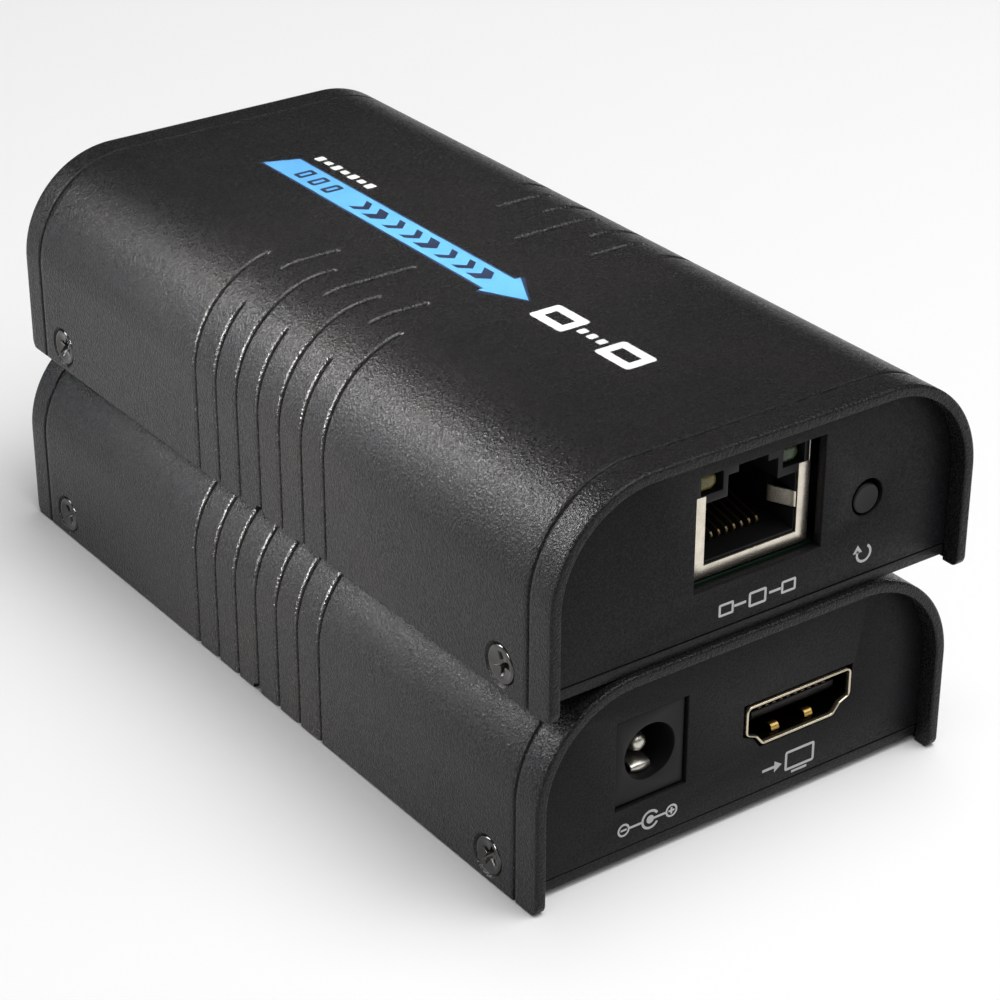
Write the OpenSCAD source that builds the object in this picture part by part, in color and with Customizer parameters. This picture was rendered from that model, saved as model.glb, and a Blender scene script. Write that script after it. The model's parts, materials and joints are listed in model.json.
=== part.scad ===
// Extender pair for one screen: a receiver standing on a transmitter, both in the same metal case.
// Each unit is drawn about its own centre, with its network end towards -Y and its lower edge at z = 0.

/* [Case] */
// Width of a unit
case_w = 56; // [52:1:80]
// Length of a unit
case_l = 108.4; // [104:1:160]
// Height of a unit
case_h = 24.7; // [24:0.5:40]
// Outer radius of the long shoulders
shoulder_r = 12.6; // [6:0.2:14]
// Wall of the cover
wall = 1.3; // [1.2:0.1:2]
// Depth of each end panel inside the cover's rim
rim_depth = 2.3; // [1.5:0.1:5]
// Radius of the cover's lower corners, seen from the side
corner_r = 2.2; // [0.5:0.1:2.6]
// Width of the pry notch in the middle of each lower edge
notch_w = 1.9; // [1:0.1:6]
// Height of the pry notch
notch_h = 0.8; // [0.4:0.05:0.85]

/* [Bands and grooves] */
// Width of the plain band at each end of the cover
band_w = 3.8; // [3:0.1:8]
// Width of the line that sets off a band
band_line_w = 0.4; // [0.2:0.05:0.8]
// Depth of the line that sets off a band
band_line_d = 0.3; // [0.1:0.05:0.5]
// Width of a groove
groove_w = 0.9; // [0.5:0.05:1.5]
// Depth of a groove
groove_d = 0.4; // [0.2:0.05:0.6]
// Distance between grooves
groove_pitch = 4.45; // [3:0.05:6]

/* [Base] */
// Height of the base's underside above the cover's lower edge
base_rise = 0.9; // [0.4:0.1:1.5]
// Thickness of the base sheet
base_t = 1.2; // [0.8:0.1:1.5]
// Height of the base's upturned sides above its upper face
flange_h = 3.4; // [3:0.1:3.5]
// Distance from the end panel to the end of an upturned side
flange_setback = 2; // [1:0.5:6]

/* [Side screws] */
// Radius of a side screw's shank
screw_r = 1.25; // [1:0.05:1.5]
// Radius of a side screw's countersunk head
screw_head_r = 2.5; // [2:0.05:2.55]
// Depth of a side screw's countersunk head
screw_head_h = 1.15; // [0.8:0.05:1.15]
// Length of a side screw
screw_l = 4.6; // [3.6:0.1:5]
// Height of a side screw above the cover's lower edge
screw_rise = 3.1; // [2.9:0.1:3.6]
// Distance of a side screw from the end of the cover
screw_inset = 8.5; // [8:0.5:20]
// Thickness of the base's side at a screw
boss_t = 3.4; // [2.5:0.1:3.6]
// Width of the base's side at a screw
boss_w = 7; // [5:0.5:10]

/* [End panels] */
// Thickness of an end panel
panel_t = 1.2; // [0.8:0.1:1.5]
// Depth of the slot in the cover that holds an end panel
slot_d = 0.5; // [0.3:0.05:0.6]
// Height of the line between an end panel and the base
panel_gap = 0.15; // [0.05:0.05:0.3]

/* [Circuit board] */
// Gap between the board and the thick places of the base's sides
board_side = 0.2; // [0.1:0.05:1]
// Thickness of the board
board_t = 1.6; // [1:0.1:2]
// Gap between the board and an end panel
board_gap = 0.5; // [0.3:0.1:1]
// Radius of a post
post_r = 2.7; // [2.2:0.1:3]
// Distance of a post from the board's long edge
post_inset_x = 4; // [3.5:0.5:5]
// Radius of a board screw's shank
board_screw_r = 1.25; // [1:0.05:1.4]
// Radius of a board screw's head
board_screw_head_r = 2.3; // [2:0.1:2.8]
// Height of a board screw's head
board_screw_head_h = 1.6; // [1.2:0.1:2.2]
// Distance of a board screw's tip above the base sheet
board_screw_end = 0.3; // [0.1:0.1:2]

/* [Network socket] */
// Width of the network socket
net_w = 16; // [15.6:0.1:17]
// Height of the network socket
net_h = 12.6; // [12.4:0.1:13.6]
// Length of the network socket
net_l = 21.2; // [18:0.2:24]
// Offset of the network socket from the centre line
net_x = 0.2; // [-4:0.1:0.6]
// Distance of the socket's face behind the end panel
net_back = 0.5; // [0.2:0.1:1]
// Gap between the socket and the board
net_lift = 0.3; // [0.1:0.05:0.5]
// Thickness of the shield's sheet
shield_t = 0.3; // [0.2:0.05:0.4]
// Width of the plug opening
plug_w = 12; // [11.8:0.1:12.2]
// Height of the plug opening
plug_h = 6.8; // [6.6:0.1:7]
// Depth of the plug opening
plug_depth = 13.6; // [12:0.2:15]
// Height of the plug opening's floor above the socket's underside
plug_floor = 1.75; // [1.6:0.05:1.9]
// Width of the latch way above the plug opening
latch_w = 6.6; // [5:0.1:6.6]
// Width of the latch way's upper step
latch_top_w = 3.9; // [3:0.1:4.6]
// Height of the latch way's lower step
latch_step = 2.4; // [1:0.1:2.4]
// Height of the latch way's upper step
latch_top_step = 1; // [0.6:0.1:1]
// Width of a light window
light_w = 2.8; // [2:0.1:2.9]
// Height of a light window
light_h = 2.1; // [1.5:0.1:2.2]
// Length of a light pipe
light_l = 8; // [4:0.5:10]
// Distance of a light window from the shield's side
light_side = 1.2; // [1:0.05:1.3]
// Distance of a light window from the shield's top
light_top = 0.9; // [0.7:0.05:1]
// Distance between spring wires
wire_pitch = 1.02; // [0.9:0.01:1.1]
// Width of a spring wire
wire_w = 0.46; // [0.3:0.02:0.6]
// Thickness of a spring wire
wire_t = 0.3; // [0.2:0.05:0.4]
// Rise of a spring wire above the plug opening's floor
wire_rise = 3.2; // [2:0.1:3.4]
// Gap round the socket in the end panel, sideways
net_cut_side = 0.5; // [0.2:0.05:0.8]
// Gap round the socket in the end panel, up and down
net_cut_rise = 0.3; // [0.2:0.05:0.5]

/* [Display socket] */
// Width of the display socket's shell
av_w = 14.8; // [14.4:0.1:15.2]
// Height of the display socket's shell
av_h = 5.4; // [5.2:0.1:5.8]
// Length of the display socket's shell
av_l = 11.4; // [10:0.2:13]
// Offset of the display socket from the centre line
av_x = -8.7; // [-10:0.1:-3]
// Height of the display socket's shell above the board
av_lift = 0.75; // [0.5:0.05:1]
// How far the shell stands out of the end panel
av_proud = 0.2; // [0:0.05:0.5]
// Thickness of the shell's sheet
av_t = 0.4; // [0.3:0.05:0.45]
// Width of a plug spring in the shell's floor
av_spring_w = 1.1; // [0.8:0.1:1.4]
// Rise of a plug spring above the shell's floor
av_spring_rise = 0.55; // [0.4:0.05:0.7]
// Length of a plug spring
av_spring_l = 3.4; // [2.6:0.1:4.4]
// Distance of a plug spring's tip behind the shell's edge
av_spring_back = 1.2; // [0.8:0.1:2]
// Gap round the shell in the end panel
av_cut = 0.25; // [0.1:0.05:0.4]
// Depth of the plug space inside the shell
av_depth = 7.6; // [6:0.2:8]
// Thickness of the tongue
tongue_t = 1.5; // [1.2:0.1:1.8]
// Width of the tongue
tongue_w = 11.6; // [11.2:0.1:11.8]
// Distance of the tongue's tip behind the shell's edge
tongue_back = 1.2; // [0.8:0.1:2]
// Distance between contacts in a row
contact_pitch = 1; // [0.9:0.05:1.05]
// Width of a contact
contact_w = 0.45; // [0.3:0.05:0.5]
// Thickness of a contact
contact_t = 0.12; // [0.1:0.01:0.2]

/* [Power socket] */
// Width of the power socket
dc_w = 9; // [8.6:0.1:9.6]
// Height of the power socket
dc_h = 10.4; // [10:0.1:11]
// Length of the power socket
dc_l = 14.2; // [13:0.2:16]
// Offset of the power socket from the centre line
dc_x = 11.4; // [8:0.1:12.8]
// How far the power socket reaches into the end panel
dc_in = 0.3; // [0:0.1:0.6]
// Length of the power socket's full-size front
dc_front_l = 3.4; // [2:0.2:5]
// Width of the power socket's body behind its front
dc_body_w = 8.4; // [8:0.1:8.6]
// Height of the barrel's axis above the board
dc_axis_h = 5.4; // [5:0.1:5.6]
// Radius of the barrel opening
barrel_r = 3.3; // [3.2:0.05:3.4]
// Depth of the barrel opening
barrel_l = 9.6; // [9:0.1:10.4]
// Radius of the centre pin
pin_r = 1.05; // [0.8:0.05:1.25]
// Distance of the pin's tip behind the socket's face
pin_back = 2.2; // [1:0.1:3]
// Radius of the pin's foot
pin_foot_r = 1.7; // [1.5:0.1:2]
// Thickness of the pin's foot
pin_foot_t = 0.6; // [0.4:0.1:1]
// Width of the side spring
leaf_w = 2.6; // [1.2:0.1:2.8]
// Thickness of the side spring
leaf_t = 0.25; // [0.2:0.05:0.3]
// Rise of the side spring's bow
leaf_rise = 0.75; // [0.3:0.05:0.8]
// Gap round the socket in the end panel
dc_cut = 0.25; // [0.1:0.05:0.4]

/* [Reset button] */
// Radius of the reset button
button_r = 1.75; // [1.5:0.05:1.8]
// Radius of the hole in the end panel
button_hole_r = 2.15; // [2.1:0.05:2.4]
// Offset of the reset button from the centre line
button_x = 14.9; // [14.6:0.1:16]
// Height of the button's axis above the board
button_axis_h = 3.75; // [3.5:0.05:4]
// How much higher the hole sits than the button
button_hole_up = 0.25; // [0:0.05:0.25]
// Distance of the button's face behind the end panel's face
button_back = 0.15; // [0:0.05:0.4]
// Travel of the button
button_travel = 0.3; // [0.2:0.05:0.5]
// Radial clearance of the button in its switch
button_gap = 0.06; // [0.03:0.01:0.1]
// Width of the switch
switch_w = 6.2; // [5.8:0.1:6.4]
// Height of the switch
switch_h = 6.4; // [6:0.1:7]
// Thickness of the switch
switch_t = 3.6; // [3:0.1:5]
// Distance of the switch from the board's edge
switch_inset = 0.9; // [0.5:0.1:2]

/* [Parts on the board] */
// Side of the main chip
chip_w = 18; // [12:0.5:20]
// Thickness of the main chip
chip_h = 1.5; // [1:0.1:3]
// Side of the heat sink
sink_w = 22; // [20:0.5:24]
// Height of the heat sink
sink_h = 7; // [4:0.5:9]
// Thickness of the heat sink's foot
sink_foot = 1.6; // [1:0.1:2.5]
// Thickness of a heat sink fin
fin_t = 0.9; // [0.5:0.1:1.2]
// Width of the line transformer
line_w = 15.5; // [12:0.5:16]
// Length of the line transformer
line_l = 12.4; // [10:0.2:13]
// Height of the line transformer
line_h = 5.8; // [4:0.2:8]
// Radius of a capacitor
cap_r = 3.15; // [2.5:0.05:3.5]
// Height of a capacitor
cap_h = 7.7; // [5:0.1:11]
// Side of the power coil
coil_w = 7.2; // [5:0.1:8]
// Height of the power coil
coil_h = 4.2; // [2.5:0.1:5]
// Width of the regulator
reg_w = 6.5; // [4:0.1:7]
// Length of the regulator
reg_l = 3.6; // [3:0.1:4.5]
// Height of the regulator
reg_h = 1.7; // [1:0.1:2.5]
// Length of the crystal's can
crystal_l = 10.8; // [8:0.1:11.5]
// Width of the crystal's can
crystal_w = 4.6; // [3.5:0.1:5]
// Height of the crystal's can
crystal_h = 3.4; // [2:0.1:4]

/* [Stack] */
// How far the receiver stands to the right of the transmitter
stack_x = 0.4; // [-2:0.1:2]
// How far the receiver stands in front of the transmitter
stack_y = 1.5; // [-3:0.1:3]
// Gap between the receiver's base and the transmitter's top
stack_gap = 0.02; // [0.01:0.01:0.1]

/* [Hidden] */

$fn = 64;
fit_gap = 0.1;           // clearance between pieces that slide together
press_gap = 0.05;        // clearance between pieces that are pressed or screwed together
overrun = 1;             // how far a cut runs past its surface

// Where each groove ends on the top, from the centre line, as shares of half the case's width
groove_end_shares = [0.635, 0.4, 0.52, 0.25, 0.52, 0.4, 0.635];
// Grooves that are broken on the shoulder, and where the break starts and ends
groove_broken = [false, true, false, true, false, true, false];
break_low_share = 0.87;
break_high_share = 0.665;

inner_x = case_w / 2 - wall;
inner_h = case_h - wall;
inner_r = shoulder_r - wall;
panel_face_y = case_l / 2 - rim_depth;
panel_back_y = panel_face_y - panel_t;
base_top = base_rise + base_t;
flange_mid = base_top + flange_h / 2;
flange_l = 2 * (panel_back_y - flange_setback);
// Height of a post, as a share of what the board and the network socket leave free inside
post_share = 0.55;
post_h = post_share * (inner_h - base_top - board_t - net_lift - net_h);
board_w = 2 * (inner_x - fit_gap - boss_t - board_side);
board_l = 2 * (panel_back_y - board_gap);
board_low = base_top + post_h;
board_top = board_low + board_t;
board_screw_l = board_t + post_h - board_screw_end;
screw_y = case_l / 2 - screw_inset;
post_x = board_w / 2 - post_inset_x;

net_low = board_top + net_lift;
net_top = net_low + net_h;
net_face_y = -(panel_back_y - net_back);
plug_low = net_low + plug_floor;
light_x = net_w / 2 - light_side - light_w / 2;
light_low = net_top - light_top - light_h;
wire_count = 8;
wire_front = 3;          // depth of a spring wire's foot inside the plug opening
wire_foot = 1.4;         // length of that foot
wire_top = 2.8;          // length of the straight stretch at the back
finger_l = 4.6;          // length of a shield finger inside the plug opening
finger_h = 1.9;          // height of a shield finger
finger_up_share = 0.5;   // height of a finger's lower edge, as a share of the opening's height
shield_foot_w = 1.2;     // width of a shield's solder foot

av_low = board_top + av_lift;
av_face_y = panel_face_y + av_proud;
av_rows = [10, 9];
// Corners of one half of the display socket, as shares of its half width and its height
av_corner_shares = [[0.68, 0], [0.81, 0.23], [1, 0.34], [1, 1]];
av_spring_share = 0.16;  // place of a plug spring off the middle, as a share of the shell's width
tongue_up_share = 0.56;  // height of the tongue's middle, as a share of the shell's height
tongue_z = tongue_up_share * av_h;
tail_l = 1.1;            // length of a contact's foot on the board

dc_face_y = panel_back_y + dc_in;
dc_axis = board_top + dc_axis_h;
pin_tip_l = 0.7;         // length of the pin's tapered tip
pin_tail_r = 0.8;        // radius of the pin's tail in the back wall
lug_w = 2.4;             // width of a solder lug
lug_t = 0.5;             // thickness of a solder lug
leaf_end = 1;            // distance of the side spring's ends from the barrel's mouth and floor

button_axis = board_top + button_axis_h;
switch_face_y = -(board_l / 2 - switch_inset);
button_face_y = -(panel_face_y - button_back);
button_in = 1.6;         // length of the button inside the switch
leg_w = 0.7;             // width of a chip's or a switch's leg
leg_t = 0.25;            // thickness of a leg
leg_reach = 1.1;         // how far a leg stands out

chip_legs = 16;
fin_count = 8;
part_gap = 1;            // gap between neighbours on the board
line_y = net_face_y + net_l + part_gap + leg_reach + line_l / 2;
chip_x = -2;
chip_y = line_y + line_l / 2 + leg_reach + part_gap + sink_w / 2;
coil_x = av_x - part_gap - coil_w / 2;
coil_y = av_face_y - av_l - 3 * tail_l - part_gap - coil_w / 2;
post_y = coil_y - coil_w / 2 - part_gap - post_r;
cap_count = 2;
cap_x = post_x - board_screw_head_r - part_gap - cap_r;
cap_y = dc_face_y - dc_l - lug_t - part_gap - cap_r;
cap_pitch = 2 * cap_r + part_gap;
cap_end_x = cap_x - (cap_count - 1) * cap_pitch - cap_r;
reg_x = (coil_x + coil_w / 2 + cap_end_x) / 2;
crystal_x = chip_x + sink_w / 2 + 2 * part_gap + crystal_w / 2;

stack_pitch = case_h - base_rise + stack_gap;

// Places one unit in the stack: the receiver on top, the transmitter below and turned round
module receiver() translate([stack_x / 2, -stack_y / 2, stack_pitch]) children();
module transmitter() translate([-stack_x / 2, stack_y / 2, 0]) rotate([0, 0, 180]) children();

// Section of a case: straight sides and rounded shoulders, open below by drop
module arch(w, h, r, drop = 0) {
    translate([-w / 2, -drop]) square([w, h - r + drop]);
    translate([-w / 2 + r, -drop]) square([w - 2 * r, h + drop]);
    for (s = [-1, 1]) translate([s * (w / 2 - r), h - r]) intersection() {
        circle(r = r);
        translate([-r, 0]) square(2 * r);
    }
}

// The same section as a bar along Y
module arch_bar(w, h, r, l, drop = 0) {
    rotate([90, 0, 0]) linear_extrude(height = l, center = true) arch(w, h, r, drop);
}

// A ring cut of depth d and width w into the outside of the cover, open below
module outside_ring(w, d) {
    rotate([90, 0, 0]) linear_extrude(height = w, center = true) difference() {
        arch(case_w + 2 * overrun, case_h + overrun, shoulder_r + overrun, 2 * overrun);
        arch(case_w - 2 * d, case_h - d, shoulder_r - d, 3 * overrun);
    }
}

// Keeps a ring from the given distance off the centre line outwards, with a round end
module from_x(start) {
    high = case_h + 3 * overrun;
    reach = case_w / 2 + 2 * overrun - start;
    for (s = [-1, 1]) translate([s * start, 0, -2 * overrun]) {
        translate([s * reach / 2, 0, high / 2]) cube([reach, groove_w, high], center = true);
        cylinder(r = groove_w / 2, h = high);
    }
}

// Keeps a ring between two distances off the centre line, with round ends
module between_x(start, end) {
    for (s = [-1, 1]) {
        translate([s * (start + end) / 2, 0, case_h]) {
            cube([end - start, groove_w, shoulder_r], center = true);
        }
        for (x = [start, end]) translate([s * x, 0, case_h - shoulder_r / 2]) {
            cylinder(r = groove_w / 2, h = shoulder_r);
        }
    }
}

// Keeps a ring below a height, with a round upper end
module below_z(top) {
    reach = shoulder_r + 2 * overrun;
    for (s = [-1, 1]) translate([s * (case_w / 2 - shoulder_r + reach / 2), 0, 0]) {
        translate([0, 0, top / 2 - overrun]) cube([reach, groove_w, top + 2 * overrun], center = true);
        translate([0, 0, top]) rotate([0, 90, 0]) cylinder(r = groove_w / 2, h = reach, center = true);
    }
}

module groove(i) {
    end = groove_end_shares[i] * case_w / 2;
    if (groove_broken[i]) {
        intersection() {
            outside_ring(groove_w, groove_d);
            below_z(break_low_share * case_h);
        }
        intersection() {
            outside_ring(groove_w, groove_d);
            between_x(end, break_high_share * case_w / 2);
        }
    } else {
        intersection() {
            outside_ring(groove_w, groove_d);
            from_x(end);
        }
    }
}

// Puts a shape at every side screw, its z axis pointing out of the case
module at_side_screws() {
    for (sx = [-1, 1], sy = [-1, 1]) {
        translate([sx * case_w / 2, sy * screw_y, screw_rise]) rotate([0, sx * 90, 0]) children();
    }
}

module at_posts() {
    for (sx = [-1, 1], sy = [-1, 1]) translate([sx * post_x, sy * post_y, 0]) children();
}

// Rounds the cover's lower corners at both ends, seen from the side
module lower_corner_cuts() {
    for (s = [-1, 1]) translate([0, s * (case_l / 2 - corner_r), corner_r]) difference() {
        translate([-case_w, s > 0 ? 0 : -corner_r - overrun, -corner_r - overrun]) {
            cube([2 * case_w, corner_r + overrun, corner_r + overrun]);
        }
        rotate([0, 90, 0]) cylinder(r = corner_r, h = 3 * case_w, center = true);
    }
}

// Pry notch with rounded upper corners in the lower edge, cut through both sides
module pry_notch() {
    corner = min(notch_h, notch_w) / 2;
    rotate([90, 0, 90]) linear_extrude(height = 2 * case_w, center = true) {
        translate([-notch_w / 2, -overrun]) square([notch_w, notch_h - corner + overrun]);
        translate([-notch_w / 2 + corner, -overrun]) square([notch_w - 2 * corner, notch_h + overrun]);
        for (s = [-1, 1]) translate([s * (notch_w / 2 - corner), notch_h - corner]) circle(r = corner);
    }
}

module cover() color("#2b2c2f") difference() {
    arch_bar(case_w, case_h, shoulder_r, case_l);
    arch_bar(case_w - 2 * wall, inner_h, inner_r, case_l + 2 * overrun, overrun);
    for (s = [-1, 1]) translate([0, s * (panel_face_y - panel_t / 2), 0]) {
        slot_w = 2 * (inner_x + slot_d);
        arch_bar(slot_w, inner_h + slot_d, inner_r + slot_d, panel_t + 2 * press_gap, overrun);
    }
    for (s = [-1, 1]) translate([0, s * (case_l / 2 - band_w), 0]) outside_ring(band_line_w, band_line_d);
    for (i = [0:len(groove_end_shares) - 1]) {
        translate([0, (i - (len(groove_end_shares) - 1) / 2) * groove_pitch, 0]) groove(i);
    }
    lower_corner_cuts();
    at_side_screws() {
        translate([0, 0, -screw_head_h]) {
            cylinder(h = screw_head_h, r1 = screw_r + press_gap, r2 = screw_head_r + press_gap);
        }
        cylinder(h = overrun, r = screw_head_r + press_gap);
        translate([0, 0, -wall - overrun]) cylinder(h = wall + 2 * overrun, r = screw_r + press_gap);
    }
    pry_notch();
}

module base() color("#303135") difference() {
    edge = inner_x - fit_gap;
    union() {
        translate([-edge, -panel_face_y, base_rise]) cube([2 * edge, 2 * panel_face_y, base_t]);
        for (s = [-1, 1]) {
            translate([s * (edge - base_t / 2), 0, flange_mid]) {
                cube([base_t, flange_l, flange_h], center = true);
            }
            for (sy = [-1, 1]) translate([s * (edge - boss_t / 2), sy * screw_y, flange_mid]) {
                cube([boss_t, boss_w, flange_h], center = true);
            }
        }
        at_posts() translate([0, 0, base_rise]) cylinder(r = post_r, h = base_t + post_h);
    }
    at_side_screws() {
        translate([0, 0, -screw_l - overrun]) cylinder(r = screw_r + press_gap, h = screw_l + overrun);
    }
    at_posts() {
        translate([0, 0, board_top - board_screw_l - press_gap]) {
            cylinder(r = board_screw_r + press_gap, h = board_screw_l + overrun);
        }
    }
}

// Cross for a screwdriver, cut down from z = 0
module driver_cross(r) {
    for (a = [45, 135]) rotate([0, 0, a]) {
        translate([-r, -r / 5, -r / 2]) cube([2 * r, r * 2 / 5, r / 2 + overrun]);
    }
    translate([0, 0, -r * 2 / 3]) cylinder(r1 = r / 6, r2 = r / 2, h = r * 2 / 3);
}

module side_screws() color("#c9c6bd") at_side_screws() difference() {
    union() {
        translate([0, 0, -screw_head_h]) cylinder(r1 = screw_r, r2 = screw_head_r, h = screw_head_h);
        translate([0, 0, -screw_l]) cylinder(r = screw_r, h = screw_l - screw_head_h / 2);
    }
    driver_cross(screw_head_r * 3 / 5);
}

// Plain end panel, standing on the base and held in the cover's slot
module panel_plate() {
    grow = slot_d - fit_gap;
    rotate([90, 0, 0]) linear_extrude(height = panel_t, center = true) difference() {
        arch(2 * (inner_x + grow), inner_h + grow, inner_r + grow);
        translate([-case_w, -case_h]) square([2 * case_w, case_h + base_top + panel_gap]);
    }
}

module network_panel() color("#3a383c") translate([0, -(panel_face_y - panel_t / 2), 0]) difference() {
    panel_plate();
    translate([net_x, 0, net_low + net_h / 2]) {
        cube([net_w + 2 * net_cut_side, panel_t + 2 * overrun, net_h + 2 * net_cut_rise], center = true);
    }
    translate([button_x, 0, button_axis + button_hole_up]) rotate([90, 0, 0]) {
        cylinder(r = button_hole_r, h = panel_t + 2 * overrun, center = true);
    }
}

module display_panel() color("#3a383c") translate([0, panel_face_y - panel_t / 2, 0]) difference() {
    panel_plate();
    translate([av_x, 0, av_low]) rotate([90, 0, 0]) {
        linear_extrude(height = panel_t + 2 * overrun, center = true) display_outline(av_cut);
    }
    translate([dc_x, 0, board_top + dc_h / 2]) {
        cube([dc_w + 2 * dc_cut, panel_t + 2 * overrun, dc_h + 2 * dc_cut], center = true);
    }
}

module board() color("#1f5a3a") difference() {
    translate([-board_w / 2, -board_l / 2, board_low]) cube([board_w, board_l, board_t]);
    at_posts() translate([0, 0, board_low - overrun]) {
        cylinder(r = board_screw_r + fit_gap, h = board_t + 2 * overrun);
    }
}

module board_screws() color("#c9c6bd") at_posts() translate([0, 0, board_top]) difference() {
    union() {
        cylinder(r = board_screw_head_r, h = board_screw_head_h);
        translate([0, 0, -board_screw_l]) cylinder(r = board_screw_r, h = board_screw_l);
    }
    translate([0, 0, board_screw_head_h]) driver_cross(board_screw_head_r * 3 / 5);
}

// Opening for the plug and its latch, seen from the front
module plug_outline(grow = 0) {
    translate([-plug_w / 2 - grow, plug_low - grow]) square([plug_w + 2 * grow, plug_h + 2 * grow]);
    translate([-latch_w / 2 - grow, plug_low]) square([latch_w + 2 * grow, plug_h + latch_step + grow]);
    translate([-latch_top_w / 2 - grow, plug_low]) {
        square([latch_top_w + 2 * grow, plug_h + latch_step + latch_top_step + grow]);
    }
}

// Light window or pipe, seen from the front
module light_outline(s, grow = 0) {
    translate([s * light_x - light_w / 2 - grow, light_low - grow]) {
        square([light_w + 2 * grow, light_h + 2 * grow]);
    }
}

// Runs an outline that is drawn from the front into the network socket, from one depth to another
module into_network(from, to) {
    translate([net_x, net_face_y + to, 0]) rotate([90, 0, 0]) linear_extrude(height = to - from) children();
}

// Puts a shape at each shield finger, from the face of the socket inwards
module at_fingers() {
    for (s = [-1, 1]) {
        x = net_x + s * (plug_w / 2 + shield_t / 2);
        translate([x, net_face_y, plug_low + finger_up_share * plug_h]) children();
    }
}

module network_shield() color("#cfcabd") {
    difference() {
        translate([net_x - net_w / 2, net_face_y, net_low]) cube([net_w, net_l, net_h]);
        translate([net_x - net_w / 2 + shield_t, net_face_y + shield_t, net_low - overrun]) {
            cube([net_w - 2 * shield_t, net_l - 2 * shield_t, net_h - shield_t + overrun]);
        }
        into_network(-overrun, shield_t + overrun) plug_outline(shield_t);
        for (s = [-1, 1]) into_network(-overrun, shield_t + overrun) light_outline(s, press_gap);
    }
    at_fingers() translate([-shield_t / 2, 0, -finger_h / 2]) cube([shield_t, finger_l, finger_h]);
    for (s = [-1, 1]) {
        x = net_x + s * (net_w / 2 - shield_t / 2);
        translate([x, net_face_y + net_l / 2, net_low - net_lift / 2]) {
            cube([shield_t, shield_foot_w, net_lift], center = true);
        }
    }
}

module network_housing() color("#232326") difference() {
    in = shield_t + press_gap;
    translate([net_x - net_w / 2 + in, net_face_y + in, net_low - net_lift]) {
        cube([net_w - 2 * in, net_l - 2 * in, net_h + net_lift - in]);
    }
    into_network(-overrun, plug_depth) plug_outline();
    for (s = [-1, 1]) into_network(-overrun, light_l) light_outline(s, press_gap);
    at_fingers() translate([-shield_t / 2 - press_gap, 0, -finger_h / 2 - press_gap]) {
        cube([shield_t + 2 * press_gap, finger_l + press_gap, finger_h + 2 * press_gap]);
    }
}

module network_wires() color("#c8a24a") {
    run = plug_depth - wire_front - wire_foot - wire_top;
    for (i = [0:wire_count - 1]) {
        translate([net_x + (i - (wire_count - 1) / 2) * wire_pitch - wire_w / 2, net_face_y, plug_low]) {
            rotate([90, 0, 90]) linear_extrude(height = wire_w) polygon([
                [wire_front, 0],
                [wire_front + wire_foot, 0],
                [wire_front + wire_foot + run, wire_rise - wire_t],
                [plug_depth, wire_rise - wire_t],
                [plug_depth, wire_rise],
                [wire_front + wire_foot + run - wire_t / 2, wire_rise],
                [wire_front + wire_foot - wire_t / 2, wire_t],
                [wire_front, wire_t]
            ]);
        }
    }
}

module light_pipe(s) {
    into_network(0, light_l - press_gap) light_outline(s);
}

module amber_light() color("#f2b51c") light_pipe(-1);

module green_light() color("#46c65a") light_pipe(1);

// Outline of the display socket: wide above, drawn in below
module display_outline(grow = 0) {
    half = av_w / 2 + grow;
    high = av_h + 2 * grow;
    right = [for (c = av_corner_shares) [c[0] * half, c[1] * high]];
    left = [for (i = [len(right) - 1:-1:0]) [-right[i][0], right[i][1]]];
    translate([0, -grow]) polygon(concat(right, left));
}

// Runs an outline into the display socket, from one depth to another
module into_display(from, to) {
    translate([av_x, av_face_y - from, av_low]) rotate([90, 0, 0]) {
        linear_extrude(height = to - from) children();
    }
}

// Leaf that rises from the display socket's floor and leans towards its mouth
module plug_spring() {
    crest = av_spring_back + av_spring_l / 4;
    root = av_spring_back + av_spring_l;
    leaf = av_t / 2;
    rotate([90, 0, -90]) mirror([0, 0, 1]) linear_extrude(height = av_spring_w) polygon([
        [av_spring_back, av_spring_rise / 2],
        [crest, av_spring_rise],
        [root, 0],
        [root, -leaf],
        [root - 2 * leaf, -leaf],
        [root - 2 * leaf, 0],
        [crest, av_spring_rise - leaf],
        [av_spring_back, av_spring_rise / 2 - leaf]
    ]);
}

module display_shell() color("#d8c9a0") {
    into_display(0, av_l) difference() {
        display_outline();
        display_outline(-av_t);
    }
    for (s = [-1, 1]) {
        translate([av_x + s * (av_w / 2 - av_t / 2), av_face_y - av_l / 2, av_low + av_h / 4]) {
            cube([av_t, shield_foot_w, av_h / 2 + 2 * av_lift - press_gap], center = true);
        }
        x = av_x + s * av_spring_share * av_w - av_spring_w / 2;
        translate([x, av_face_y, av_low + av_t]) plug_spring();
    }
}

module display_tongue() color("#1c1c1f") difference() {
    union() {
        into_display(tongue_back, av_l) {
            translate([-tongue_w / 2, tongue_z - tongue_t / 2]) square([tongue_w, tongue_t]);
        }
        into_display(av_depth, av_l) display_outline(-av_t - press_gap);
    }
    for (s = [-1, 1]) into_display(av_depth - overrun, av_l + overrun) {
        translate([-tongue_w / 2, tongue_z + s * (tongue_t / 2 + contact_t / 2) - contact_t / 2]) {
            square([tongue_w, contact_t]);
        }
    }
}

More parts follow.
